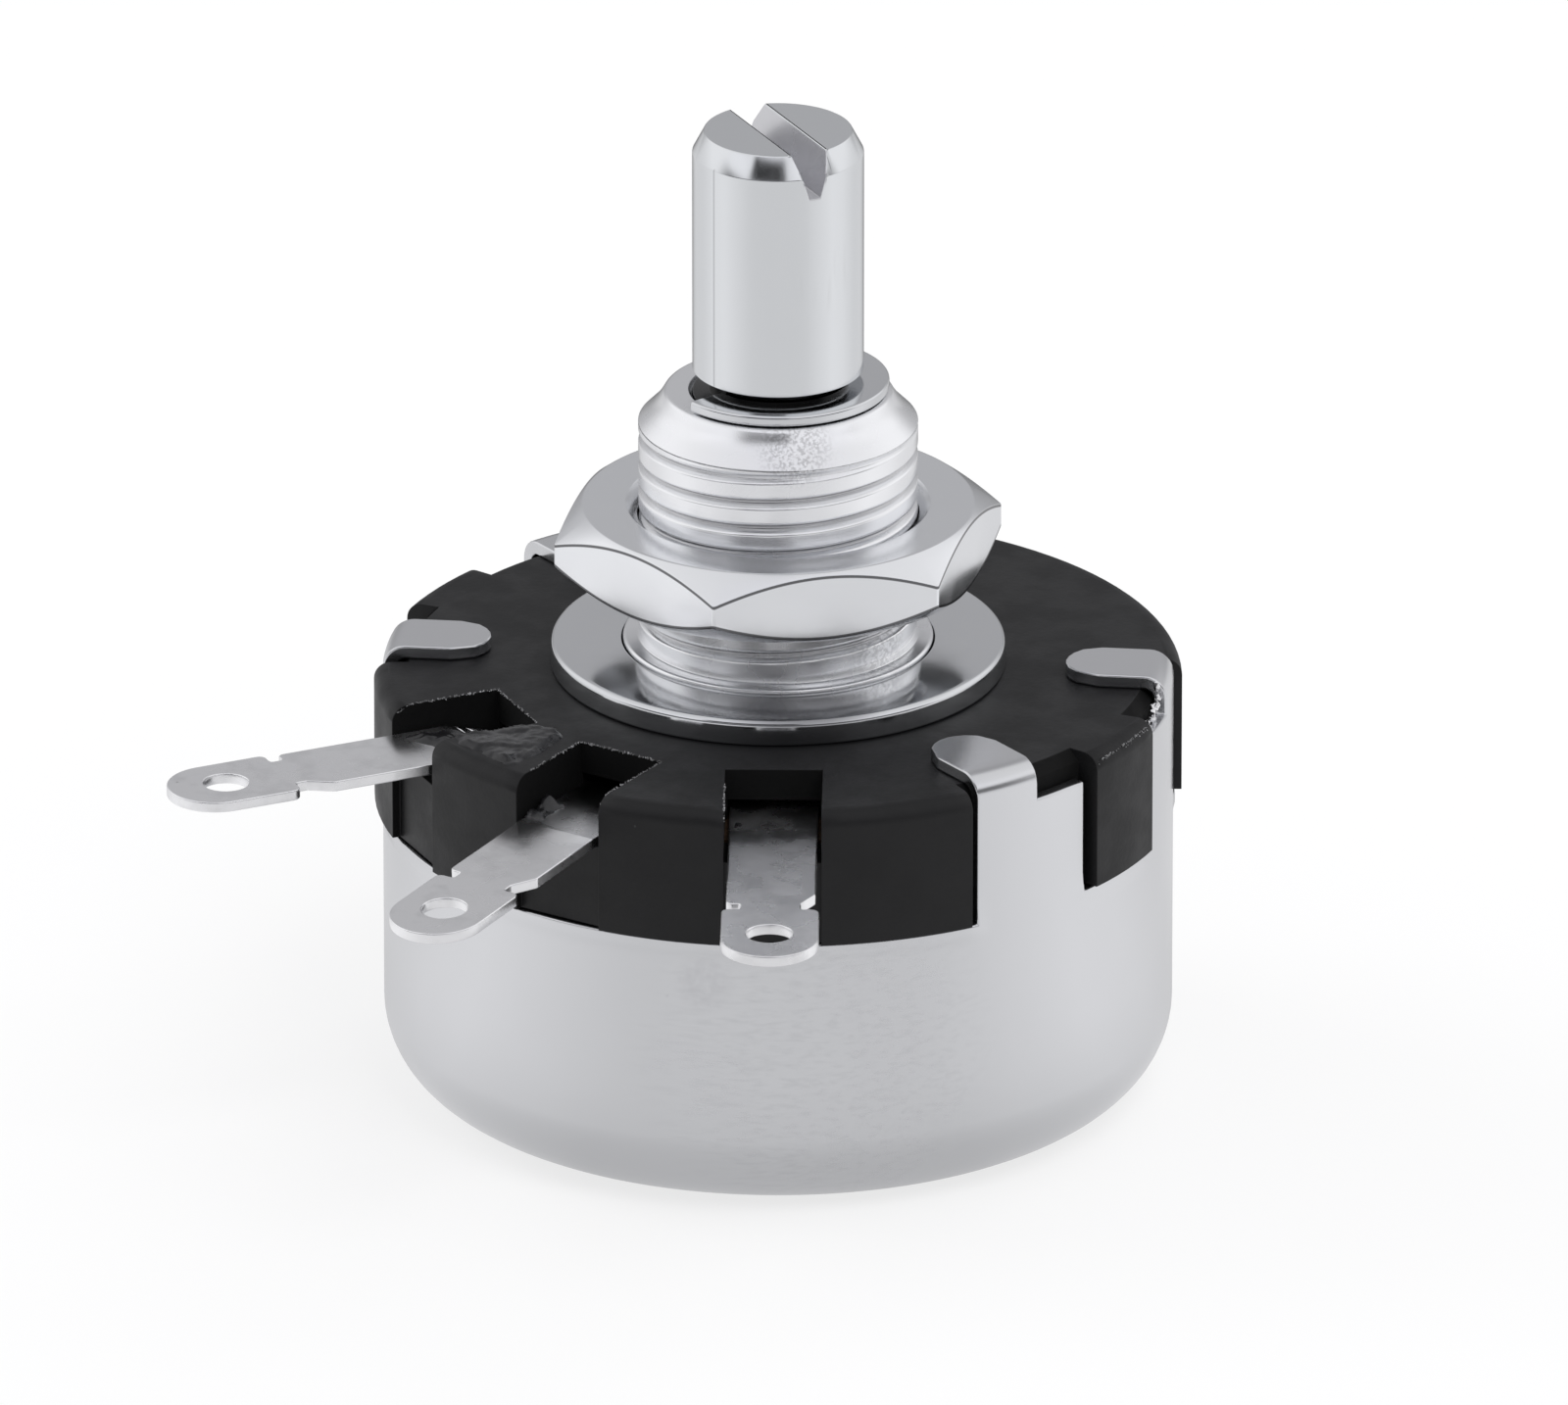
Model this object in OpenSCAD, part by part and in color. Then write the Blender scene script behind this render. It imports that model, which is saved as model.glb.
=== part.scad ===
// Single-turn rotary potentiometer: drawn steel can, phenolic base, threaded bush and slotted shaft.
// Frame: origin at the centre of the can's back face, +Z along the shaft, middle lug along -Y.

/* [Body] */
// Outer radius of the drawn steel can
can_r = 13.9; // [13.5:0.05:14.1]
// Thickness of the can's sheet
can_t = 0.5; // [0.35:0.05:0.6]
// Outer radius of the can's bottom corner
can_corner_r = 3.0; // [1.5:0.1:4]
// Height of the body, from the back face to the mounting face
body_h = 15.5; // [14.5:0.1:20]
// How far the can's rim stops below the mounting face
rim_drop = 5.0; // [4.6:0.1:6]

/* [Tabs] */
// Angle of the first pair of tall wall segments
pair_angle = 2.5; // [-5:0.5:8]
// Half angle of the notch between the two segments of a pair
notch_half = 9.3; // [7:0.1:12]
// Half angle that a pair of segments covers
pair_half = 29.6; // [27:0.1:32]
// How far a segment's shoulder stops below the mounting face
shoulder_drop = 0.9; // [0.6:0.1:1.6]
// Width of a tab
tab_w = 2.6; // [2:0.1:3]
// How far a tab reaches in, as a share of the way from the can's wall to the washer
tab_share = 0.64; // [0.5:0.01:0.8]
// Outer bend radius of a tab
tab_bend = 0.85; // [0.7:0.05:1]

/* [Base] */
// How far the phenolic base's head stands out past the can
base_over = 0.3; // [0.25:0.05:0.6]
// Rounding of the base's top edge
base_edge = 0.6; // [0.2:0.05:0.9]
// Thickness of the base's skirt inside the can
skirt_t = 1.25; // [1:0.05:1.4]
// How far the base's skirt reaches down inside the can, below the rim
skirt_l = 3.2; // [2.9:0.1:4]
// Width of a lug slot
slot_w = 3.4; // [3.3:0.05:3.9]
// How far a lug slot reaches in, as a share of the way from the base's edge to the washer
slot_share = 0.67; // [0.6:0.01:0.75]
// How deep the wall below each lug is recessed
slot_recess = 0.4; // [0.2:0.05:0.6]

/* [Lugs] */
// Angle between neighbouring lugs
lug_pitch = 32.2; // [30:0.2:36]
// Thickness of a lug
lug_t = 0.4; // [0.3:0.05:0.5]
// Width of a lug's strip
lug_w = 3.1; // [2.6:0.05:3.2]
// Width of a lug's rounded head
lug_head_w = 3.4; // [3.1:0.05:3.6]
// How far a lug reaches out of the base
lug_reach = 9.1; // [8:0.1:11]
// Distance of the solder hole from a lug's tip
hole_from_tip = 2.1; // [1.8:0.05:2.6]
// Radius of the solder hole
lug_hole_r = 0.8; // [0.6:0.05:0.9]
// Distance of the two side notches from a lug's tip
notch_from_tip = 4.5; // [4:0.1:5.5]
// Depth of a side notch
notch_d = 0.65; // [0.3:0.05:0.8]
// Length of a side notch at its bottom
notch_l = 0.45; // [0.3:0.05:0.8]
// Length of the slanted shoulder beside one of the two notches
notch_slant = 1.1; // [0:0.1:1.6]
// How far the lug's top lies below the mounting face
lug_drop = 1.5; // [1.4:0.05:2]
// How far the left lug is bent up inside its slot
left_lift = 0.55; // [0.1:0.05:0.8]
// Angle that the middle lug is bent down by at the base's edge
middle_bend = 4; // [1:0.5:8]

/* [Track] */
// Thickness of the board that carries the track
board_t = 1.0; // [0.8:0.1:1.2]
// Bare rim of the board outside the track, as a share of the board's free width
rim_share = 0.09; // [0.07:0.01:0.11]
// Width of the carbon track, as a share of the board's free width
track_share = 0.28; // [0.24:0.01:0.3]
// Bare board between the bush's stem and the collector ring, as the same kind of share
bare_share = 0.114; // [0.11:0.002:0.12]
// Width of the collector ring, as the same kind of share
ring_share = 0.228; // [0.2:0.002:0.24]
// Radius of a rivet's shank, as a share of the gap between ring and track
rivet_share = 0.26; // [0.2:0.01:0.28]
// Thickness of the track, the pads and the collector ring
film_t = 0.1; // [0.05:0.05:0.15]
// Half angle of a silver end pad
pad_half = 9; // [7:0.5:11]

/* [Bush] */
// Thickness of the bush's wall at the thread
bush_wall = 1.9; // [1.8:0.05:2]
// Thickness of the plain stem's wall in the base and the board
stem_wall = 1.2; // [1:0.05:1.3]
// How far the collar that sits on the base stands out past the thread
collar_w = 0.55; // [0.4:0.05:0.6]
// Height of the collar
collar_h = 1.1; // [1.05:0.05:1.4]
// Height of the bush's mouth above the mounting face
bush_h = 10.3; // [9.8:0.1:12]
// Height of the tapered crown at the mouth
crown_h = 1.2; // [1:0.1:1.6]
// How far the crown's edge, half way up, stands out past the shaft
crown_w = 1.3; // [1.2:0.05:1.5]
// How far the flat mouth reaches out past the shaft
mouth_w = 0.95; // [0.8:0.05:1.1]

/* [Washer and nut] */
// Width of the washer's ring
washer_w = 2.5; // [2.2:0.1:2.9]
// Thickness of the washer
washer_t = 0.95; // [0.7:0.05:1]
// Thickness of the nut's wall at the middle of a flat
nut_wall = 2.1; // [1.8:0.05:2.6]
// Thickness of the nut
nut_t = 2.6; // [2:0.1:3]
// Height of the chamfer at a corner of the nut
nut_chamfer = 0.9; // [0.5:0.05:0.95]
// Height of the nut's lower face above the mounting face, as shown
nut_z = 3.45; // [2:0.05:4]
// Turn of the nut, as shown
nut_turn = 46.8; // [0:0.2:59.8]

/* [Shaft] */
// Radius of the shaft
shaft_r = 3.0; // [2.95:0.01:3.02]
// Length of the shaft above the mounting face
shaft_l = 20; // [15:0.5:35]
// Width of the chamfer on the shaft's top edge
chamfer_w = 0.42; // [0.2:0.02:0.6]
// Height of that chamfer
chamfer_h = 0.8; // [0.4:0.1:1]
// Width of the screwdriver slot at the top
slot_top_w = 1.35; // [1:0.05:1.6]
// Width of the screwdriver slot at its bottom
slot_floor_w = 0.4; // [0.2:0.05:0.8]
// Depth of the screwdriver slot
slot_depth = 1.55; // [1:0.05:2]
// Direction of the screwdriver slot at rest
slot_turn = -31.5; // [-90:0.5:90]
// How far the retaining clip stands out past the shaft
clip_w = 0.9; // [0.7:0.05:1]
// Thickness of the retaining clip
clip_t = 0.4; // [0.3:0.05:0.6]
// Depth of the clip's groove
groove_d = 0.6; // [0.4:0.05:0.8]
// Free height in the groove above the clip
groove_room = 0.35; // [0.1:0.05:0.5]
// Angle of the clip's gap
clip_open = 78; // [50:1:100]
// Direction of the clip's gap
clip_turn = 212; // [0:1:359]

/* [Rotor] */
// Room between the phenolic rotor disc and the cavity's wall
disc_gap = 2.1; // [1.9:0.1:2.4]
// Thickness of the rotor disc
disc_t = 1.6; // [1.2:0.1:2]
// Height of the hub above the disc
hub_h = 1.4; // [1.3:0.1:1.6]
// Thickness of the stop arm's plate
arm_t = 0.7; // [0.5:0.05:0.9]
// Room between the stop arm's tip and the cavity's wall
arm_gap = 0.5; // [0.3:0.05:0.8]
// How far the stop rib stands in from the cavity's wall
rib_w = 1.6; // [1.4:0.05:1.8]
// Half angle of the stop arm
arm_half = 10; // [7:0.5:14]
// Whole travel of the shaft, from stop to stop
travel = 300; // [280:1:310]
// Thickness of the wiper's spring sheet
spring_t = 0.25; // [0.2:0.05:0.3]
// Radius of the two contact brushes
brush_r = 0.55; // [0.4:0.05:0.6]

/* [Fits] */
// Running clearance between shaft and bush, on the radius
run_gap = 0.05; // [0.02:0.01:0.08]
// Clearance of the nut on the thread, on the radius
nut_gap = 0.05; // [0.03:0.01:0.1]
// Small clearance between pieces that are only seated
seat_gap = 0.05; // [0.02:0.01:0.1]
// Angular gap beside each tall segment
pocket_gap = 1.4; // [0.4:0.1:2]

/* [Hidden] */
$fn = 96;

steel = [0.78, 0.79, 0.80];
nickel = [0.84, 0.85, 0.87];
phenolic = [0.16, 0.16, 0.17];
paxolin = [0.45, 0.28, 0.15];
carbon = [0.10, 0.10, 0.11];
silver = [0.86, 0.86, 0.84];
bronze = [0.72, 0.50, 0.28];
red_fibre = [0.55, 0.20, 0.14];

// How far a cutter runs past what it cuts
over = 1;

// Heights above the back face
rim_z = body_h - rim_drop;
shoulder_z = body_h - shoulder_drop;
lug_top = body_h - lug_drop;
lug_z = lug_top - lug_t;
board_z = lug_z - board_t;
film_z = board_z - film_t;
skirt_z = rim_z - skirt_l;
mouth_z = body_h + bush_h;
top_z = body_h + shaft_l;
thread_z = body_h + collar_h;
nut_bottom = body_h + nut_z;

// Radii of bush, washer and nut, from the shaft outwards
bush_bore_r = shaft_r + run_gap;
stem_r = shaft_r + stem_wall;
stem_hole_r = stem_r + seat_gap;
thread_r = shaft_r + bush_wall;
collar_r = thread_r + collar_w;
crown_r = shaft_r + crown_w;
mouth_r = shaft_r + mouth_w;
washer_in = collar_r + seat_gap;
washer_r = washer_in + washer_w;
nut_af = 2 * (thread_r + nut_wall);
nut_bore_r = thread_r + nut_gap;

// Radii of can and base, from the can's wall inwards
base_r = can_r + base_over;
pocket_r = can_r - can_t - seat_gap;
cavity_r = pocket_r - skirt_t;
board_r = cavity_r - 2 * seat_gap;
tab_tip_r = can_r - tab_share * (can_r - washer_r);
slot_in = base_r - slot_share * (base_r - washer_r);

// The board: ring, rivets and track between stem and cavity wall
free_w = cavity_r - stem_r;
ring_in = stem_r + bare_share * free_w;
ring_out = ring_in + ring_share * free_w;
track_out = cavity_r - rim_share * free_w;
track_in = track_out - track_share * free_w;
rivet_r = rivet_share * (track_in - ring_out);
rivet_head_r = 1.65 * rivet_r;
rivet_tail_r = 1.4 * rivet_r;
rivet_top_r = 1.3 * rivet_r;
rivet_head_h = 0.5 * rivet_r;
rivet_hole_r = rivet_r + seat_gap;
end_rivet_at = (ring_out + track_in) / 2;
mid_rivet_at = (ring_in + ring_out) / 2;

// The bush's lip under the board and the rotor's hub below it
lip_h = board_t / 2;
lip_r = stem_r + 0.6 * (ring_in - stem_r);
lip_z = board_z - lip_h;
thrust_t = lip_h * 0.8;
thrust_z = lip_z - seat_gap - thrust_t;
hub_r = stem_r + 0.4 * (ring_in - stem_r);
disc_top = thrust_z - hub_h;
disc_z = disc_top - disc_t;
arm_z = disc_z - arm_t;
disc_r = cavity_r - disc_gap;
arm_r = cavity_r - arm_gap;
rib_in = cavity_r - rib_w;

// Lugs: direction, rivet radius and inner end of the left, middle and right one
lug_angles = [270 - lug_pitch, 270, 270 + lug_pitch];
rivet_at = [end_rivet_at, mid_rivet_at, end_rivet_at];
lug_inner = [for (at = rivet_at) at - 1.9 * rivet_r];
lug_lifts = [left_lift, 0, 0];
lug_bends = [0, middle_bend, 0];
lug_tip_r = base_r + lug_reach;
lug_hole_at = lug_tip_r - hole_from_tip;
lug_notch_at = lug_tip_r - notch_from_tip;
channel_w = (lug_w + slot_w) / 2;
channel_top = lug_top + rivet_head_h + seat_gap;
lift_from = slot_in + seat_gap;
lift_to = (slot_in + base_r) / 2;

// Shaft tail, flatted for the rotor, and the clip's groove
tail_r = shaft_r * 5 / 6;
tail_flat = tail_r * 3 / 4;
tail_head_r = (shaft_r + tail_r) / 2 + seat_gap;
tail_head_h = arm_t * 0.7;
groove_r = shaft_r - groove_d;
clip_r = shaft_r + clip_w;
clip_z = mouth_z + seat_gap;
groove_top = clip_z + clip_t + groove_room;

// Half angle of the rib that both sides of the arm come to rest on
rib_half = 180 - travel / 2 - arm_half - 0.3;

// Wiper spring, in a frame with +Y along the wiper's arm
brush_h = 1.4 * spring_t;
brush_top = film_z - seat_gap;
finger_top = brush_top - brush_h;
brush_track_at = (track_in + track_out) / 2;
brush_ring_at = (ring_in + ring_out) / 2;
finger_w = 2.7 * brush_r;
finger_gap = spring_t;
finger_pad = 1.4 * brush_r;
finger_at = (finger_gap + finger_w) / 2;
window_half_w = finger_gap / 2 + finger_w + spring_t;
frame_half_w = window_half_w + 2.4 * brush_r;
frame_in = hub_r + spring_t;
frame_out = disc_r - 2 * spring_t;
window_in = frame_in + brush_r;
window_out = frame_out - brush_r;
spring_rivet_x = (frame_half_w + window_half_w) / 2;
spring_rivet_y = (frame_in + frame_out) / 2;
spring_rivet_r = 0.6 * brush_r;
spring_head_r = 1.1 * brush_r;
spring_head_h = spring_t;

// Points of an arc about (cx, cy) from angle a to angle b
function arc(cx, cy, r, a, b, n = 10) =
    [for (i = [0 : n]) [cx + r * cos(a + (b - a) * i / n), cy + r * sin(a + (b - a) * i / n)]];

// A flat pie slice about the axis, centred on angle at
module pie(at, half) {
    reach = 2 * can_r;
    n = ceil(half / 15);
    polygon(concat([[0, 0]], [for (i = [-n : n])
        [reach * cos(at + half * i / n), reach * sin(at + half * i / n)]]));
}

// The same slice as a solid, for cutting
module slice(at, half, z0, z1) {
    translate([0, 0, z0]) linear_extrude(z1 - z0) pie(at, half);
}

// A flat ring between two radii
module ring(r_in, r_out, z0, z1) {
    translate([0, 0, z0]) linear_extrude(z1 - z0) difference() {
        circle(r_out);
        circle(r_in);
    }
}

// The four tall segments: angle of the middle, half angle, angle of the tab
seg_half = (pair_half - notch_half) / 2;
seg_mid = (pair_half + notch_half) / 2;
tab_half = asin(tab_w / 2 / (can_r - can_t));
tab_inset = 0.4;
tab_mid = pair_half - tab_half - tab_inset;
segments = [for (turn = [0, 180], side = [-1, 1])
    [pair_angle + turn + side * seg_mid, seg_half, pair_angle + turn + side * tab_mid]];

// A drawn cup with four tabs that are bent over the base, cut out of one bent profile
module can() {
    tongue_top = body_h + can_t;
    bend_x = can_r - tab_bend;
    bend_z = tongue_top - tab_bend;
    bend_in = tab_bend - can_t;
    tongue_in = tab_tip_r - over;
    color(steel) difference() {
        rotate_extrude() polygon(concat(
            [[0, 0]],
            arc(can_r - can_corner_r, can_corner_r, can_corner_r, -90, 0),
            arc(bend_x, bend_z, tab_bend, 0, 90, 6),
            [[tongue_in, tongue_top], [tongue_in, body_h]],
            arc(bend_x, bend_z, bend_in, 90, 0, 6),
            arc(can_r - can_corner_r, can_corner_r, can_corner_r - can_t, 0, -90),
            [[0, can_t]]));
        translate([0, 0, rim_z]) linear_extrude(shoulder_z - rim_z + over / 2) difference() {
            circle(2 * can_r);
            for (s = segments) pie(s[0], s[1]);
        }
        translate([0, 0, shoulder_z]) linear_extrude(shoulder_drop + can_t + over) difference() {
            circle(2 * can_r);
            for (s = segments) rotate(s[2]) tab_outline();
        }
    }
}

// The tab seen from above, along +X: straight sides and a round tip
module tab_outline() {
    translate([tab_tip_r + tab_w / 2, -tab_w / 2]) square([can_r, tab_w]);
    translate([tab_tip_r + tab_w / 2, 0]) circle(tab_w / 2);
}

// The moulded base: a flat head, a skirt in the can, a stop rib, lug slots and tab pockets
module base() {
    color(phenolic) difference() {
        union() {
            rotate_extrude() polygon(concat(
                [[stem_hole_r, lug_z]],
                [[cavity_r, lug_z], [cavity_r, skirt_z], [pocket_r, skirt_z]],
                [[pocket_r, rim_z + seat_gap], [base_r, rim_z + seat_gap]],
                arc(base_r - base_edge, body_h - base_edge, base_edge, 0, 90, 8),
                [[stem_hole_r, body_h]]));
            intersection() {
                ring(rib_in, (cavity_r + pocket_r) / 2, skirt_z, board_z - seat_gap);
                slice(270, rib_half, skirt_z, board_z);
            }
        }
        for (s = segments) tab_pocket(s);
        for (i = [0 : 2]) rotate(lug_angles[i]) lug_room(lug_inner[i] - 2 * seat_gap);
    }
}

// Room in the base for one lug along +X: an open slot, a recess below it and a covered channel
module lug_room(inner) {
    floor_z = lug_z - seat_gap;
    translate([slot_in, -slot_w / 2, floor_z]) cube([base_r, slot_w, body_h]);
    translate([base_r - slot_recess, -slot_w / 2, rim_z - over]) cube([base_r, slot_w, body_h]);
    translate([inner, -channel_w / 2, floor_z])
        cube([slot_in - inner + over, channel_w, channel_top - floor_z]);
}

// Room in the base for one tall segment and its bent tab
module tab_pocket(s) {
    relief = tab_bend - can_t + seat_gap;
    intersection() {
        rotate_extrude() polygon([[pocket_r, rim_z - over], [pocket_r, body_h - relief],
            [pocket_r - relief, body_h], [pocket_r - relief, body_h + over],
            [base_r + over, body_h + over], [base_r + over, rim_z - over]]);
        slice(s[0], s[1] + pocket_gap, rim_z - over, body_h + over);
    }
}

// The board that carries the track and the lugs
module track_board() {
    color(paxolin) difference() {
        ring(stem_hole_r, board_r, board_z, lug_z);
        for (i = [0 : 2]) rotate(lug_angles[i]) translate([rivet_at[i], 0, board_z - over])
            cylinder(r = rivet_hole_r, h = board_t + 2 * over);
    }
}

// The printed carbon track on the board's lower face, from pad to pad
module carbon_track() {
    color(carbon) intersection() {
        ring(track_in, track_out, film_z, board_z);
        slice(90, 180 - lug_pitch - pad_half, film_z, board_z);
    }
}

// A silver pad that joins one end of the track to its rivet
module silver_pad(angle) {
    color(silver) difference() {
        intersection() {
            ring(end_rivet_at - rivet_head_r, track_out, film_z, board_z);
            slice(angle, pad_half, film_z, board_z);
        }
        rotate(angle) translate([end_rivet_at, 0, film_z - over])
            cylinder(r = rivet_hole_r, h = film_t + 2 * over);
    }
}

// The ring that the wiper's second brush runs on
module collector_ring() {
    color(silver) difference() {
        ring(ring_in, ring_out, film_z, board_z);
        rotate(270) translate([mid_rivet_at, 0, film_z - over])
            cylinder(r = rivet_hole_r, h = film_t + 2 * over);
    }
}

// A stamped lug from above, along +X: strip, two side notches, round head and two holes
module lug_outline(inner, rivet) {
    head_at = lug_tip_r - lug_head_w / 2;
    edge = lug_head_w / 2;
    bottom = edge - notch_d;
    near = lug_notch_at - notch_l / 2;
    far = lug_notch_at + notch_l / 2;
    difference() {
        union() {
            translate([inner, -lug_w / 2]) square([head_at - inner, lug_w]);
            translate([lug_notch_at, -edge]) square([head_at - lug_notch_at, lug_head_w]);
            translate([head_at, 0]) circle(edge);
        }
        polygon([[near - notch_slant, edge], [near, bottom], [far, bottom], [far, edge + over],
            [near - notch_slant, edge + over]]);
        polygon([[near, -edge - over], [near, -bottom], [far, -bottom], [far, -edge - over]]);
        translate([lug_hole_at, 0]) circle(lug_hole_r);
        translate([rivet, 0]) circle(rivet_hole_r);
    }
}

// The same lug as a sheet that steps up inside the slot and bends down at the base's edge
module lug(inner, rivet, lift, bend) {
    far = lug_tip_r + over;
    split = bend > 0 ? base_r : far;
    intersection() {
        translate([0, 0, lug_z]) linear_extrude(lift + lug_t) lug_outline(inner, rivet);
        rotate([90, 0, 0]) linear_extrude(2 * lug_head_w, center = true) polygon([
            [inner - over, lug_z], [lift_from, lug_z], [lift_to, lug_z + lift], [split, lug_z + lift],
            [split, lug_top + lift], [lift_to, lug_top + lift], [lift_from, lug_top],
            [inner - over, lug_top]]);
    }
    if (bend > 0) translate([base_r, 0, lug_top]) rotate([0, bend, 0])
        translate([-base_r, 0, -lug_t]) linear_extrude(lug_t) difference() {
            lug_outline(inner, rivet);
            translate([0, -lug_head_w]) square([base_r, 2 * lug_head_w]);
        }
}

module terminal(i) {
    color(nickel) rotate(lug_angles[i]) lug(lug_inner[i], rivet_at[i], lug_lifts[i], lug_bends[i]);
}

// A rivet through lug, board and film, with a head on top and a set tail below
module lug_rivet(i) {
    color(nickel) rotate(lug_angles[i]) translate([rivet_at[i], 0, 0]) rotate_extrude() polygon([
        [0, film_z - rivet_head_h], [rivet_tail_r, film_z - rivet_head_h],
        [rivet_head_r, film_z], [rivet_r, film_z], [rivet_r, lug_top],
        [rivet_head_r, lug_top], [rivet_top_r, lug_top + rivet_head_h],
        [0, lug_top + rivet_head_h]]);
}

// The turned bush: staked lip, stem, collar, thread, crown and bore
module bush() {
    color(nickel) rotate_extrude() polygon([
        [bush_bore_r, lip_z], [lip_r, lip_z], [lip_r, board_z], [stem_r, board_z],
        [stem_r, body_h], [collar_r, body_h], [collar_r, thread_z], [thread_r, thread_z],
        [thread_r, mouth_z - crown_h], [crown_r, mouth_z - crown_h / 2],
        [mouth_r, mouth_z], [bush_bore_r, mouth_z]]);
}

// The pressed washer round the collar, with its upper edge rounded by the die
module washer() {
    edge = washer_t / 2;
    color(nickel) rotate_extrude() polygon(concat(
        [[washer_in, body_h], [washer_r, body_h]],
        arc(washer_r - edge, body_h + washer_t - edge, edge, 0, 90, 6),
        [[washer_in, body_h + washer_t]]));
}

// The hexagon nut, chamfered on both faces
module nut() {
    corner_r = nut_af / 2 / cos(30);
    face_r = nut_af / 2 - nut_chamfer / 6;
    slope = (corner_r - face_r) / nut_chamfer;
    sink = nut_t * 0.15;
    nut_top = nut_bottom + nut_t;
    color(nickel) difference() {
        intersection() {
            rotate(nut_turn) translate([0, 0, nut_bottom])
                linear_extrude(nut_t) circle(corner_r, $fn = 6);
            rotate_extrude() polygon([[0, nut_bottom - over], [face_r - over * slope, nut_bottom - over],
                [face_r + nut_t / 2 * slope, nut_bottom + nut_t / 2],
                [face_r - over * slope, nut_top + over], [0, nut_top + over]]);
        }
        rotate_extrude() polygon([[0, nut_bottom - over], [nut_bore_r + sink + over, nut_bottom - over],
            [nut_bore_r, nut_bottom + sink], [nut_bore_r, nut_top - sink],
            [nut_bore_r + sink + over, nut_top + over], [0, nut_top + over]]);
    }
}

// The outline of the shaft's flatted tail, grown by a gap for the holes that it fits
module tail_shape(gap = 0) {
    intersection() {
        circle(tail_r + gap);
        square([2 * (tail_r + over), 2 * (tail_flat + gap)], center = true);
    }
}

// The shaft: flatted tail with a staked head, journal, clip groove, chamfer and slot
module shaft() {
    tail_z = arm_z - tail_head_h;
    color(nickel) difference() {
        union() {
            translate([0, 0, tail_z]) cylinder(r = tail_head_r, h = tail_head_h);
            translate([0, 0, tail_z]) linear_extrude(thrust_z - tail_z + over) tail_shape();
            rotate_extrude() polygon([[0, thrust_z], [shaft_r, thrust_z], [shaft_r, mouth_z],
                [groove_r, mouth_z], [groove_r, groove_top], [shaft_r, groove_top],
                [shaft_r, top_z - chamfer_h], [shaft_r - chamfer_w, top_z], [0, top_z]]);
        }
        rotate(slot_turn) translate([-2 * shaft_r, 0, top_z]) rotate([90, 0, 90])
            linear_extrude(4 * shaft_r) polygon([[-slot_floor_w / 2, -slot_depth],
                [slot_floor_w / 2, -slot_depth], [slot_top_w / 2, 0], [slot_top_w / 2, over],
                [-slot_top_w / 2, over], [-slot_top_w / 2, 0]]);
    }
}

// The open clip that keeps the shaft in the bush
module retaining_clip() {
    color(nickel) difference() {
        ring(groove_r + seat_gap, clip_r, clip_z, clip_z + clip_t);
        slice(clip_turn, clip_open / 2, clip_z - over, clip_z + clip_t + over);
    }
}

// The fibre washer between the bush and the rotor's hub
module thrust_washer() {
    color(red_fibre) ring(shaft_r + 2 * run_gap, hub_r, thrust_z, thrust_z + thrust_t);
}

// The moulded rotor: a disc with a hub, keyed on the shaft's tail
module rotor_disc() {
    color(phenolic) difference() {
        union() {
            translate([0, 0, disc_z]) cylinder(r = disc_r, h = disc_t);
            translate([0, 0, disc_z]) cylinder(r = hub_r, h = thrust_z - disc_z);
        }
        translate([0, 0, disc_z - over])
            linear_extrude(thrust_z - disc_z + 2 * over) tail_shape(seat_gap);
        for (side = [-1, 1]) translate([side * spring_rivet_x, spring_rivet_y, disc_z - over])
            cylinder(r = spring_rivet_r + seat_gap, h = disc_t + 2 * over);
    }
}

// The sheet arm that meets the base's rib at both ends of the travel
module stop_arm() {
    color(steel) difference() {
        union() {
            translate([0, 0, arm_z]) cylinder(r = hub_r, h = arm_t);
            intersection() {
                translate([0, 0, arm_z]) cylinder(r = arm_r, h = arm_t);
                slice(90, arm_half, arm_z, disc_z);
            }
        }
        translate([0, 0, arm_z - over]) linear_extrude(arm_t + 2 * over) tail_shape(seat_gap);
    }
}

// One spring finger: root at y0 on the disc, tip flat centred on y1 under its brush
module finger(x0, y0, y1) {
    way = sign(y1 - y0);
    lift = finger_top - disc_top - spring_t;
    root = way * spring_t;
    crook = way * spring_t / 2;
    pad = way * finger_pad;
    translate([x0, 0, disc_top]) rotate([90, 0, 90]) linear_extrude(finger_w) polygon([
        [y0 - root, 0], [y0, 0], [y1 - pad, lift], [y1 + pad, lift], [y1 + pad, lift + spring_t],
        [y1 - pad - crook, lift + spring_t], [y0 - crook, spring_t], [y0 - root, spring_t]]);
}

// The sprung sheet that carries both brushes
module wiper_spring() {
    color(bronze) difference() {
        union() {
            translate([0, 0, disc_top]) linear_extrude(spring_t) difference() {
                translate([-frame_half_w, frame_in])
                    square([2 * frame_half_w, frame_out - frame_in]);
                translate([-window_half_w, window_in])
                    square([2 * window_half_w, window_out - window_in]);
            }
            finger(finger_gap / 2, window_in, brush_track_at);
            finger(-finger_gap / 2 - finger_w, window_out, brush_ring_at);
        }
        for (side = [-1, 1]) translate([side * spring_rivet_x, spring_rivet_y, disc_top - over])
            cylinder(r = spring_rivet_r + seat_gap, h = spring_t + 2 * over);
    }
}

// A carbon brush on the tip of a finger
module brush(x, y) {
    color(carbon) translate([x, y, finger_top]) cylinder(r = brush_r, h = brush_h);
}

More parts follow.
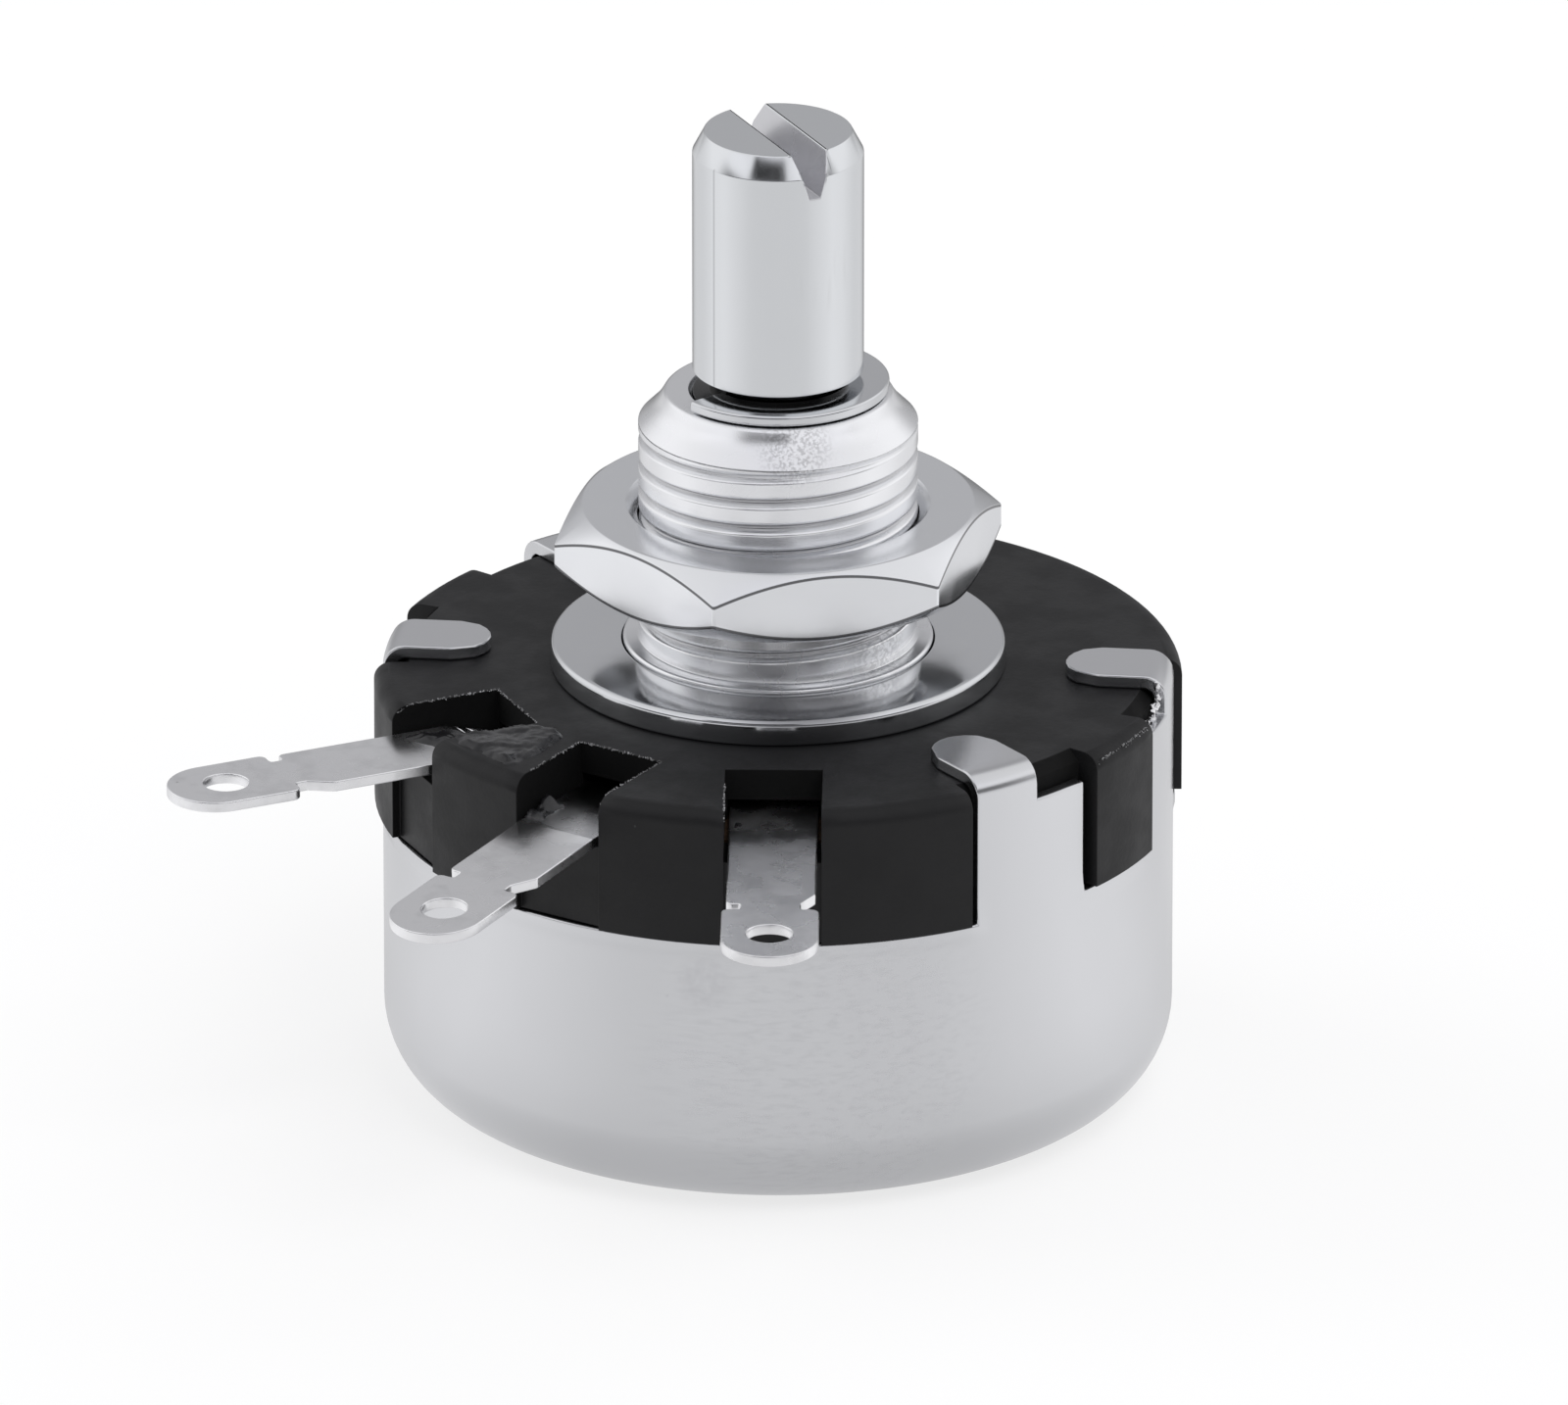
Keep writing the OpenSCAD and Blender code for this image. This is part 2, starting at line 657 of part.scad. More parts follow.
// A small rivet that holds the spring on the disc
module spring_rivet(side) {
    spring_top = disc_top + spring_t;
    color(nickel) translate([side * spring_rivet_x, spring_rivet_y, 0]) rotate_extrude() polygon([
        [0, disc_z - spring_head_h], [spring_head_r, disc_z - spring_head_h],
        [spring_head_r, disc_z], [spring_rivet_r, disc_z], [spring_rivet_r, spring_top],
        [spring_head_r, spring_top], [brush_r, spring_top + spring_head_h],
        [0, spring_top + spring_head_h]]);
}

can();
base();
track_board();
carbon_track();
silver_pad(lug_angles[0]);  // silver_pad_left
silver_pad(lug_angles[2]);  // silver_pad_right
collector_ring();
terminal(0);  // terminal_left
terminal(1);  // terminal_middle
terminal(2);  // terminal_right
lug_rivet(0);  // rivet_left
lug_rivet(1);  // rivet_middle
lug_rivet(2);  // rivet_right
bush();
washer();
nut();
shaft();
retaining_clip();
thrust_washer();
rotor_disc();
stop_arm();
wiper_spring();
brush(finger_at, brush_track_at);  // track_brush
brush(-finger_at, brush_ring_at);  // ring_brush
spring_rivet(-1);  // spring_rivet_left
spring_rivet(1);  // spring_rivet_right
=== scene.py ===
# %% [markdown]
# # A rotary potentiometer, dressed over its frame
# The frame holds every piece of a panel potentiometer at its real size: a drawn steel can, a black
# moulded base, a threaded bush, a nut, a washer, a slotted shaft, three solder lugs, and the track
# and wiper inside. Metal sells itself by its edges and by what it reflects, so this script rebuilds
# the visible pieces with rounded edges and fine thread, then gives each finish its own material.

# %% Load the frame
import math
from contextlib import contextmanager
import bmesh
import bpy
from mathutils import Matrix, Vector
from mathutils import noise as mnoise
from mathutils.bvhtree import BVHTree


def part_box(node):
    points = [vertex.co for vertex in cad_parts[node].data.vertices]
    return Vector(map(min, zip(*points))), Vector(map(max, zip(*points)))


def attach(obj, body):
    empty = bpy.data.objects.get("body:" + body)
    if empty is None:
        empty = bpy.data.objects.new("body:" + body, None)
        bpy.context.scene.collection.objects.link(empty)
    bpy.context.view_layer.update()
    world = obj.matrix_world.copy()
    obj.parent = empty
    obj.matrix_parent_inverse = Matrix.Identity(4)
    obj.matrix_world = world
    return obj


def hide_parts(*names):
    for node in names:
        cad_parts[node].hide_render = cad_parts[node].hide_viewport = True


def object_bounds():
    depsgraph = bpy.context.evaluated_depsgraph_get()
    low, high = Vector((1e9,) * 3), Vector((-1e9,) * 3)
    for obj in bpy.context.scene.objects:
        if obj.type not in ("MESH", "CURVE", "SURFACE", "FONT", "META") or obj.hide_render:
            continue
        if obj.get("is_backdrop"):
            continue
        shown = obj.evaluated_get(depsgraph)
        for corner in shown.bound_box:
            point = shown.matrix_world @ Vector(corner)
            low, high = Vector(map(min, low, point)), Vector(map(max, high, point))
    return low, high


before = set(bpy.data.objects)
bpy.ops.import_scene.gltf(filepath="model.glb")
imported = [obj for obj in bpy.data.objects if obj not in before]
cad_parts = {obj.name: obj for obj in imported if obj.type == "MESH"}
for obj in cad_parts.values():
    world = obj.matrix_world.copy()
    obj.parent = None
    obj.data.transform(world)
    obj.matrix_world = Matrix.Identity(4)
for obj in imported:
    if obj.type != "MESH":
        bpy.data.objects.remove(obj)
cad_box = [list(corner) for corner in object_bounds()]
MM = 0.001
print("nodes", len(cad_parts), "box in mm", [[round(c / MM, 2) for c in p] for p in cad_box])

# %% [markdown]
# ## Sizes
# The frame says where everything is, so most sizes are read from the boxes of its nodes. All
# shapes below are drawn in millimetres about the shaft's axis and scaled to metres at the end.

# %% Read the main sizes


def reach(node, axis=0):
    """How far a node reaches along an axis, in millimetres."""
    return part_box(node)[1][axis] / MM


FACE_Z = reach("base", 2)
BASE_R = reach("base")
CAN_T = reach("can", 2) - FACE_Z
MOUTH_Z = reach("bush", 2)
BUSH_FOOT_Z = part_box("bush")[0][2] / MM
TOP_Z = reach("shaft", 2)
WASHER_R = reach("washer")
WASHER_T = reach("washer", 2) - FACE_Z
NUT_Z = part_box("nut")[0][2] / MM
NUT_T = reach("nut", 2) - NUT_Z
LUG_TOP = reach("terminal_right", 2)
LUG_T = LUG_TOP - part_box("terminal_right")[0][2] / MM
LUG_TIP_R = 23.3
THREAD_R = 4.9
COLLAR_R = 5.45
COLLAR_H = 1.1
STEM_R = 4.2
BORE_R = 3.05
SHAFT_R = 3.0
SLOT_TOP_W, SLOT_FLOOR_W, SLOT_DEPTH = 1.35, 0.4, 1.55
SLOT_TURN = math.radians(-31.5)
GROOVE_TOP = 0.8
NUT_AF, NUT_CHAMFER = 14.0, 0.9
NUT_FACE_R = NUT_AF / 2 - 0.15
print("mounting face", FACE_Z, "mouth", MOUTH_Z, "top", TOP_Z)

# %% [markdown]
# ## Making meshes
# Turned parts are outlines that go once round the axis. An outline's corners are turned into small
# arcs first, because an edge without a radius never catches the light.

# %% Helpers for outlines and turned parts


def rounded(points, radius, steps=4):
    """A closed outline with each corner turned into an arc; radius is one number or one a point."""
    out = []
    for i, point in enumerate(points):
        wanted = radius[i] if isinstance(radius, (list, tuple)) else radius
        here = Vector(point)
        back = Vector(points[i - 1]) - here
        ahead = Vector(points[(i + 1) % len(points)]) - here
        straight = back.length < 1e-6 or ahead.length < 1e-6 or back.angle(ahead) > math.pi - 1e-3
        if wanted <= 0 or straight:
            out.append(tuple(here))
            continue
        half = back.angle(ahead) / 2
        cut = min(wanted / math.tan(half), 0.45 * back.length, 0.45 * ahead.length)
        arc_r = cut * math.tan(half)
        centre = here + (back.normalized() + ahead.normalized()).normalized() * (arc_r / math.sin(half))
        start = here + back.normalized() * cut - centre
        end = here + ahead.normalized() * cut - centre
        sweep = start.angle(end)
        for k in range(steps + 1):
            t = k / steps
            spoke = start * math.sin((1 - t) * sweep) + end * math.sin(t * sweep)
            out.append(tuple(centre + spoke / math.sin(sweep)))
    return out


def arc(cx, cy, r, start, end, steps=12):
    """Points of an arc, angles in degrees."""
    turns = [math.radians(start + (end - start) * k / steps) for k in range(steps + 1)]
    return [(cx + r * math.cos(t), cy + r * math.sin(t)) for t in turns]


def placed(name, data):
    """A new object that shows a mesh, curve, lamp or camera in the scene."""
    thing = bpy.data.objects.new(name, data)
    bpy.context.scene.collection.objects.link(thing)
    return thing


@contextmanager
def opened(mesh):
    """Opens a mesh for editing and writes the changes back."""
    bm = bmesh.new()
    bm.from_mesh(mesh)
    yield bm
    bm.to_mesh(mesh)
    bm.free()


def make(name, verts, faces, merge=1e-4):
    """A mesh object from millimetres: doubles merged, normals outward, shaded smooth."""
    mesh = bpy.data.meshes.new(name)
    mesh.from_pydata([tuple(c * MM for c in v) for v in verts], [], faces)
    with opened(mesh) as bm:
        bmesh.ops.remove_doubles(bm, verts=bm.verts, dist=merge * MM)
        bmesh.ops.dissolve_degenerate(bm, edges=bm.edges, dist=merge * MM)
        bmesh.ops.recalc_face_normals(bm, faces=bm.faces)
    mesh.shade_smooth()
    return placed(name, mesh)


def spun(outline, angle):
    """The points of an outline of (radius, height) at an angle about the axis."""
    return [(r * math.cos(angle), r * math.sin(angle), z) for r, z in outline]


def between_rings(rings, points, steps):
    """Quads that join each ring of points to the next, for a number of steps."""
    return [(i * points + j, (i + 1) % rings * points + j, (i + 1) % rings * points + (j + 1) % points,
             i * points + (j + 1) % points) for i in range(steps) for j in range(points)]


def turned(name, outline_at, angles):
    """A ring whose section at each angle is outline_at(angle), a closed list of (radius, height)."""
    verts = [point for a in angles for point in spun(outline_at(a), a)]
    rings = len(angles)
    return make(name, verts, between_rings(rings, len(verts) // rings, rings))


def round_angles(count):
    """Even angles round the axis."""
    return [2 * math.pi * i / count for i in range(count)]


def baked(thing):
    """The plain mesh that an object's curve or modifiers make."""
    graph = bpy.context.evaluated_depsgraph_get()
    return bpy.data.meshes.new_from_object(thing.evaluated_get(graph))


def settle(piece):
    """Gives a piece the mesh that its modifiers make, and removes them."""
    mesh = baked(piece)
    piece.modifiers.clear()
    piece.data = mesh
    return piece


def modified(piece, kind, **options):
    """Adds a modifier with its options and settles it at once."""
    step = piece.modifiers.new(kind.lower(), kind)
    for name, value in options.items():
        setattr(step, name, value)
    return settle(piece)


# %% Helpers for flats, shading and edges


FLAT_WITHIN = math.radians(0.4)


def join_flats(piece, above=-1.0):
    """Merges neighbouring faces that lie in one plane, above a height in millimetres."""
    with opened(piece.data) as bm:
        high = [v for v in bm.verts if v.co.z > above * MM]
        lines = [e for e in bm.edges if all(v.co.z > above * MM for v in e.verts)]
        bmesh.ops.dissolve_limit(bm, angle_limit=FLAT_WITHIN, verts=high, edges=lines)


def firm(piece):
    """Lets the large faces rule the shading, so that only the rounded edges turn the light."""
    return modified(piece, "WEIGHTED_NORMAL", mode="FACE_AREA", keep_sharp=False)


def edge_round(piece, width, angle=30, segments=2, clamp=True):
    """Rounds the sharp edges of a piece by a bevel of width millimetres."""
    return modified(piece, "BEVEL", width=width * MM, segments=segments, limit_method="ANGLE",
                    angle_limit=math.radians(angle), harden_normals=True, use_clamp_overlap=clamp)


def cut(piece, cutter):
    """Cuts a closed piece out of another, then deletes it."""
    modified(piece, "BOOLEAN", operation="DIFFERENCE", solver="EXACT", object=cutter)
    bpy.data.objects.remove(cutter)


# %% [markdown]
# ## The camera
# The photo is a plain cut-out on white, taken with a long lens from about 22 degrees above the
# bench. A long lens is a small angle of view from far away, which keeps the shaft's sides parallel.
# Its place is worked out from the photo: how many pixels make a millimetre, and which pixel shows
# the centre of the mounting face.

# %% Place the camera
PHOTO_W, PHOTO_H = 1600, 1434
PX_PER_MM = 29.05
FACE_AT_PX = (794, 674)
VIEW_AZ, VIEW_EL = math.radians(33), math.radians(22.3)
CAMERA_AWAY = 1.0
SENSOR = 36.0

back = Vector((math.sin(VIEW_AZ) * math.cos(VIEW_EL), -math.cos(VIEW_AZ) * math.cos(VIEW_EL),
               math.sin(VIEW_EL)))
right = Vector((math.cos(VIEW_AZ), math.sin(VIEW_AZ), 0))
up = back.cross(right)
aim = (Vector((0, 0, FACE_Z * MM)) + right * ((PHOTO_W / 2 - FACE_AT_PX[0]) / PX_PER_MM * MM)
       - up * ((PHOTO_H / 2 - FACE_AT_PX[1]) / PX_PER_MM * MM))
camera = placed("camera", bpy.data.cameras.new("camera"))
camera.data.sensor_width = SENSOR
camera.data.lens = SENSOR * PX_PER_MM / MM * CAMERA_AWAY / PHOTO_W
camera.data.clip_start, camera.data.clip_end = 0.1, 10
camera.location = aim + back * CAMERA_AWAY
camera.rotation_euler = back.to_track_quat("Z", "Y").to_euler()
bpy.context.scene.camera = camera
bpy.context.scene.view_settings.view_transform = "Standard"
print("lens in mm", round(camera.data.lens, 1))


def seen_at(across, away, above):
    """The place of a point given as the camera sees it: right, away, above the mounting face."""
    spun = Matrix.Rotation(VIEW_AZ, 3, "Z") @ Vector((across, away, 0))
    return spun.x, spun.y, FACE_Z + above


# %% [markdown]
# ## Wiring nodes
# The room, the floor, the finishes and the screw thread are all trees of nodes. One helper adds a
# node, sets its options and fills its inputs, either with a value or with another node's output.

# %% Helpers that add and link nodes


def wire(tree, kind, inputs=None, out=0, **options):
    """Adds a node with its options and inputs, and returns one output, or the node for None."""
    node = tree.nodes.new(kind)
    for name, value in options.items():
        setattr(node, name, value)
    for name, value in (inputs or {}).items():
        if isinstance(value, bpy.types.NodeSocket):
            tree.links.new(value, node.inputs[name])
        else:
            node.inputs[name].default_value = value
    return node if out is None or not node.outputs else node.outputs[out]


def emptied(owner):
    """The node tree of a material or a world, without the nodes that it starts with."""
    owner.use_nodes = True
    owner.node_tree.nodes.clear()
    return owner.node_tree


def calc(tree, operation, *values):
    """A sum over numbers or sockets."""
    return wire(tree, "ShaderNodeMath", dict(enumerate(values)), operation=operation)


def vector_calc(tree, operation, *values):
    """A sum over vectors; lengths and products come out as one number."""
    out = "Vector" if operation == "NORMALIZE" else "Value"
    return wire(tree, "ShaderNodeVectorMath", dict(enumerate(values)), out, operation=operation)


def parts_of(tree, vector):
    """The x, y and z of a vector."""
    return wire(tree, "ShaderNodeSeparateXYZ", {0: vector}, None).outputs


def span(tree, value, low, high, least=0.0):
    """Maps a value from low..high to least..1, eased at both ends."""
    return wire(tree, "ShaderNodeMapRange", {"Value": value, "From Min": low, "From Max": high,
                                             "To Min": least}, "Result", interpolation_type="SMOOTHSTEP")


COOL = 1.015


def grey_ramp(tree, value, stops):
    """The grey that a ramp of (place, grey) stops gives for a value."""
    ramp = wire(tree, "ShaderNodeValToRGB", {"Fac": value}, None)
    while len(ramp.color_ramp.elements) < len(stops):
        ramp.color_ramp.elements.new(0.5)
    for stop, (at, grey) in zip(ramp.color_ramp.elements, stops):
        stop.position = at
        stop.color = (grey, grey, grey * COOL, 1)
    return ramp.outputs["Color"]


def seen_by(tree, ray, usual, special):
    """Mixes two shaders: special for one kind of ray, usual for the others."""
    chosen = wire(tree, "ShaderNodeLightPath", out=ray)
    return wire(tree, "ShaderNodeMixShader", {0: chosen, 1: usual, 2: special})


# %% [markdown]
# ## The room
# Polished metal has no colour of its own. Flat tops show the room behind the part, and chamfers
# show the room beside and above the camera. So the room is a pale grey ramp from floor to ceiling,
# with three darker cards standing in it: a wide one behind, a black one on the camera's side that
# makes the dark patch on the shaft's chamfer, and a low wide one. A card's turn is its heading from
# the camera, its reach says within how many degrees it is full and where it has faded out, and its
# rise is its grey from the horizon up. The camera itself sees white.

# %% Paint the room
WALLS = [(0.0, 0.80), (0.12, 0.84), (0.25, 1.0), (0.57, 1.0), (0.68, 0.90), (1.0, 0.80)]
CARDS = [{"turn": 180, "reach": (20, 50), "rise": [(0, 0.48), (1, 0.48)]},
         {"turn": -14, "reach": (22, 29),
          "rise": [(0.0, 1), (0.42, 1), (0.46, 0.02), (0.66, 0.02), (0.69, 1)]},
         {"turn": 0, "reach": (66, 92),
          "rise": [(0.0, 1), (0.07, 1), (0.13, 0.14), (0.37, 0.14), (0.43, 1)]}]

world = bpy.data.worlds.new("room")
bpy.context.scene.world = world
tree = emptied(world)
x, y, z = parts_of(tree, wire(tree, "ShaderNodeTexCoord", out="Generated"))
heading = vector_calc(tree, "NORMALIZE", wire(tree, "ShaderNodeCombineXYZ", {"X": x, "Y": y}))
room = grey_ramp(tree, z, WALLS)
for card in CARDS:
    card_az = VIEW_AZ + math.radians(card["turn"])
    facing = vector_calc(tree, "DOT_PRODUCT", heading, (math.sin(card_az), -math.cos(card_az), 0))
    full, gone = [math.cos(math.radians(edge)) for edge in card["reach"]]
    room = wire(tree, "ShaderNodeMix", {"Factor": span(tree, facing, gone, full), "A": room,
                                        "B": grey_ramp(tree, z, card["rise"])},
                "Result", data_type="RGBA", blend_type="MULTIPLY")
walls = wire(tree, "ShaderNodeBackground", {"Color": room})
white = wire(tree, "ShaderNodeBackground", {"Color": (1, 1, 1, 1)})
wire(tree, "ShaderNodeOutputWorld", {"Surface": seen_by(tree, "Is Camera Ray", walls, white)})
print("cards in the room", len(CARDS))

# %% [markdown]
# ## The floor
# Upright metal walls mirror the floor in front of them, so what the floor shows in a mirror is set
# apart from what the camera sees. The mirrored floor is bright beside the part, dark behind it and
# dimmer close by. The camera sees white paper that still takes the part's soft shadow.

# %% Lay the floor
AROUND = [(0.0, 0.10), (0.015, 0.28), (0.05, 0.62), (0.1, 0.78), (0.25, 0.80), (0.45, 0.93), (0.62, 0.96),
          (0.8, 0.86), (0.92, 0.77), (1.0, 0.76)]
NEAR_SHADE = (0.012, 0.026, 0.80)
PAPER = (0.88, 0.88, 0.88, 1)
FLOOR_WHITE = 0.72
FLOOR_SIZE = 3.0

bpy.ops.mesh.primitive_plane_add(size=FLOOR_SIZE, location=(0, 0, 0))
floor = bpy.context.active_object
floor.name = "floor"
floor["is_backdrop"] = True
paper = bpy.data.materials.new("floor_paper")
tree = emptied(paper)
spot = wire(tree, "ShaderNodeTexCoord", out="Object")
camera_side = (math.sin(VIEW_AZ), -math.cos(VIEW_AZ), 0)
towards = vector_calc(tree, "DOT_PRODUCT", vector_calc(tree, "NORMALIZE", spot), camera_side)
share = wire(tree, "ShaderNodeMapRange", {"Value": towards, "From Min": -1})
dimmed = span(tree, vector_calc(tree, "LENGTH", spot), *NEAR_SHADE)
mirror = wire(tree, "ShaderNodeEmission", {"Color": grey_ramp(tree, share, AROUND), "Strength": dimmed})
sheet = wire(tree, "ShaderNodeBsdfDiffuse", {"Color": PAPER})
glow = wire(tree, "ShaderNodeEmission", {"Color": (1, 1, 1, 1)})
part = wire(tree, "ShaderNodeMixShader", {0: FLOOR_WHITE, 1: sheet, 2: glow})
lit = seen_by(tree, "Is Glossy Ray", sheet, mirror)
wire(tree, "ShaderNodeOutputMaterial", {"Surface": seen_by(tree, "Is Camera Ray", lit, part)})
floor.data.materials.append(paper)
print("floor", FLOOR_SIZE, "m")

# %% [markdown]
# ## The lamps
# Three soft panels model the black moulding and cast the shadow. Metal doesn't mirror them, or
# each would draw a hard white box on it. Each row gives a panel's place, size and power.

# %% Hang the lamps
LAMP_AIM = Vector((0, 0, 0.015))
LAMPS = {"key_panel": ((0.35, -0.15, 0.55), (0.35, 0.35), 1.5),
         "left_panel": ((-0.55, -0.1, 0.3), (0.3, 0.5), 1.0),
         "back_panel": ((-0.1, 0.6, 0.5), (0.5, 0.2), 0.9)}
for name, (at, size, watts) in LAMPS.items():
    lamp = bpy.data.lights.new(name, "AREA")
    lamp.shape = "RECTANGLE"
    lamp.size, lamp.size_y = size
    lamp.energy = watts
    holder = placed(name, lamp)
    holder.location = at
    holder.rotation_euler = (Vector(at) - LAMP_AIM).to_track_quat("Z", "Y").to_euler()
    holder.visible_glossy = False
print("lamps", list(LAMPS))

# %% [markdown]
# ## Shared surface effects
# Small node groups hold what several finishes need: rings left by turning, hair-fine scratches
# and pits. Each one takes object coordinates and gives back a plain mask.

# %% Effects as shader node groups
SIDEWAYS = 120.0
HAIRS = [((90, 1100, 700), (20, 35, 65)), ((120, 800, 1300), (50, -20, -35))]


def effect(name, sliders):
    """An empty shader group with a vector input, float inputs and one result, and its inputs."""
    tree = bpy.data.node_groups.new(name, "ShaderNodeTree")
    tree.interface.new_socket("Vector", in_out="INPUT", socket_type="NodeSocketVector")
    for label, value in sliders.items():
        socket = tree.interface.new_socket(label, in_out="INPUT", socket_type="NodeSocketFloat")
        socket.default_value = value
    tree.interface.new_socket("Value", in_out="OUTPUT", socket_type="NodeSocketFloat")
    return tree, wire(tree, "NodeGroupInput", out=None).outputs


def closed(tree, result):
    """Ends a group with its result."""
    wire(tree, "NodeGroupOutput", {0: result}, None)
    return tree


def noise(tree, vector, scale, detail=3.0, rough=0.55, warp=0.0):
    """A noise texture's grey value."""
    return wire(tree, "ShaderNodeTexNoise", {"Vector": vector, "Scale": scale, "Detail": detail,
                                             "Roughness": rough, "Distortion": warp}, "Fac")


def stretched(tree, vector, scale, turn=(0, 0, 0)):
    """The vector turned and scaled differently along each axis."""
    return wire(tree, "ShaderNodeMapping", {"Vector": vector, "Scale": scale,
                                            "Rotation": [math.radians(t) for t in turn]})


def from_axis(tree, x, y):
    """How far x and y lie from the axis."""
    return calc(tree, "SQRT", calc(tree, "ADD", calc(tree, "MULTIPLY", x, x), calc(tree, "MULTIPLY", y, y)))


def lathe_marks():
    """Rings about the axis, as a turning tool leaves them on walls and faces."""
    tree, given = effect("lathe_marks", {"Lines": 9000.0})
    x, y, z = parts_of(tree, given["Vector"])
    along = calc(tree, "MULTIPLY", calc(tree, "ADD", z, from_axis(tree, x, y)), given["Lines"])
    slow_x, slow_y = [calc(tree, "MULTIPLY", side, SIDEWAYS) for side in (x, y)]
    merged = wire(tree, "ShaderNodeCombineXYZ", {0: slow_x, 1: slow_y, 2: along})
    return closed(tree, noise(tree, merged, 1.0, 2.0))


def hairlines():
    """Fine scratches in two directions, gathered in patches."""
    tree, given = effect("hairlines", {"Width": 0.012, "Amount": 0.5})
    lines = []
    for scale, turn in HAIRS:
        field = noise(tree, stretched(tree, given["Vector"], scale, turn), 1.0, 2.0, 0.5, 0.3)
        off = calc(tree, "ABSOLUTE", calc(tree, "SUBTRACT", field, 0.5))
        lines.append(span(tree, off, given["Width"], 0.0))
    patch = noise(tree, given["Vector"], 260.0, 2.0)
    low = calc(tree, "SUBTRACT", 0.72, calc(tree, "MULTIPLY", given["Amount"], 0.4))
    both = calc(tree, "MAXIMUM", *lines)
    return closed(tree, calc(tree, "MULTIPLY", both, span(tree, patch, low, 0.75)))


def pits():
    """Small round pits or specks of uneven size, scattered thinly."""
    tree, given = effect("pits", {"Scale": 900.0, "Size": 0.16, "Spread": 0.5})
    cells = wire(tree, "ShaderNodeTexVoronoi", {"Vector": given["Vector"], "Scale": given["Scale"]}, None)
    pick = wire(tree, "ShaderNodeSeparateColor", {0: cells.outputs["Color"]}, None).outputs
    size = calc(tree, "MULTIPLY", given["Size"], pick[0])
    spot = span(tree, cells.outputs["Distance"], size, 0.0)
    chosen = calc(tree, "GREATER_THAN", given["Spread"], pick[1])
    return closed(tree, calc(tree, "MULTIPLY", spot, chosen))


LATHE, HAIRLINES, PITS = lathe_marks(), hairlines(), pits()
print("effects", [g.name for g in (LATHE, HAIRLINES, PITS)])

# %% [markdown]
# ## Finishes
# Metals differ mostly in roughness: plated and turned pieces are nearly mirrors with faint rings,
# the drawn can is satin, tinned sheet is duller and mottled. Black moulding and resin share a
# colour, but the resin is wet and wrinkled while the moulding is fine-grained. A finish starts as
# one shader. Each effect then adds to its colour, its roughness or the height of its surface.

# %% A class that builds one finish
CORE = 0.35


class Finish:
    """A material being built: one shader, object coordinates, and short ways to add effects."""

    def __init__(self, name, colour, metallic, roughness, specular=0.5):
        self.material = bpy.data.materials.new(name)
        self.tree = emptied(self.material)
        self.skin = wire(self.tree, "ShaderNodeBsdfPrincipled",
                         {"Metallic": metallic, "Specular IOR Level": specular}, None)
        wire(self.tree, "ShaderNodeOutputMaterial", {"Surface": self.skin.outputs[0]})
        self.where = wire(self.tree, "ShaderNodeTexCoord", out="Object")
        self.colour = self.fixed("ShaderNodeRGB", (*colour, 1))
        self.rough = self.fixed("ShaderNodeValue", roughness)
        self.height = None

    def fixed(self, kind, value):
        """One set value as a socket that later effects can build on."""
        socket = wire(self.tree, kind)
        socket.default_value = value
        return socket

    def use(self, group, **sliders):
        """The mask that an effect group gives on this finish."""
        return wire(self.tree, "ShaderNodeGroup", {"Vector": self.where, **sliders}, "Value",
                    node_tree=group)

    def cloud(self, scale, low=0.35, high=0.65, detail=3.0, stretch=None, turn=(0, 0, 0)):
        """A slow mottled mask."""
        vector = stretched(self.tree, self.where, stretch, turn) if stretch else self.where
        return self.span(noise(self.tree, vector, scale, detail), low, high)

    def near(self, at, size, upright=False):
        """1 in the core about a place, 0 from size millimetres on; upright takes in all heights."""
        tall = 0 if upright else 1
        vector = stretched(self.tree, self.where, (1, 1, tall))
        off = vector_calc(self.tree, "DISTANCE", vector, (at[0] * MM, at[1] * MM, at[2] * MM * tall))
        return self.span(off, size * MM, size * CORE * MM)

    def radius(self):
        """How far a place lies from the axis, in millimetres."""
        return vector_calc(self.tree, "LENGTH", stretched(self.tree, self.where, (1 / MM, 1 / MM, 0)))

    def along(self, *direction):
        """How far a place lies along a direction, in millimetres."""
        return vector_calc(self.tree, "DOT_PRODUCT", self.where, [c / MM for c in direction])

    def span(self, value, low, high):
        return span(self.tree, value, low, high)

    def times(self, a, b):
        return calc(self.tree, "MULTIPLY", a, b)

    def less(self, a, b):
        return calc(self.tree, "SUBTRACT", a, b)

    def plus(self, a, b):
        return calc(self.tree, "ADD", a, b)

    def tint(self, mask, colour, strength=1.0):
        """Mixes another colour in where the mask is."""
        inputs = {"Factor": self.times(mask, strength), "A": self.colour, "B": (*colour, 1)}
        self.colour = wire(self.tree, "ShaderNodeMix", inputs, "Result", data_type="RGBA")

    def roughen(self, mask, amount):
        """Adds amount to the roughness where the mask is."""
        self.rough = self.plus(self.rough, self.times(mask, amount))

    def raise_by(self, mask, millimetres):
        """Adds the mask to the height, in millimetres."""
        part = self.times(mask, millimetres * MM)
        self.height = part if self.height is None else self.plus(self.height, part)

    def done(self):
        """Joins colour, roughness and height to the shader, and gives the material."""
        look = {"Base Color": self.colour, "Roughness": self.rough}
        if self.height is not None:
            look["Normal"] = wire(self.tree, "ShaderNodeBump",
                                  {"Distance": 1.0, "Strength": 1.0, "Height": self.height})
        for name, socket in look.items():
            self.tree.links.new(socket, self.skin.inputs[name])
        return self.material
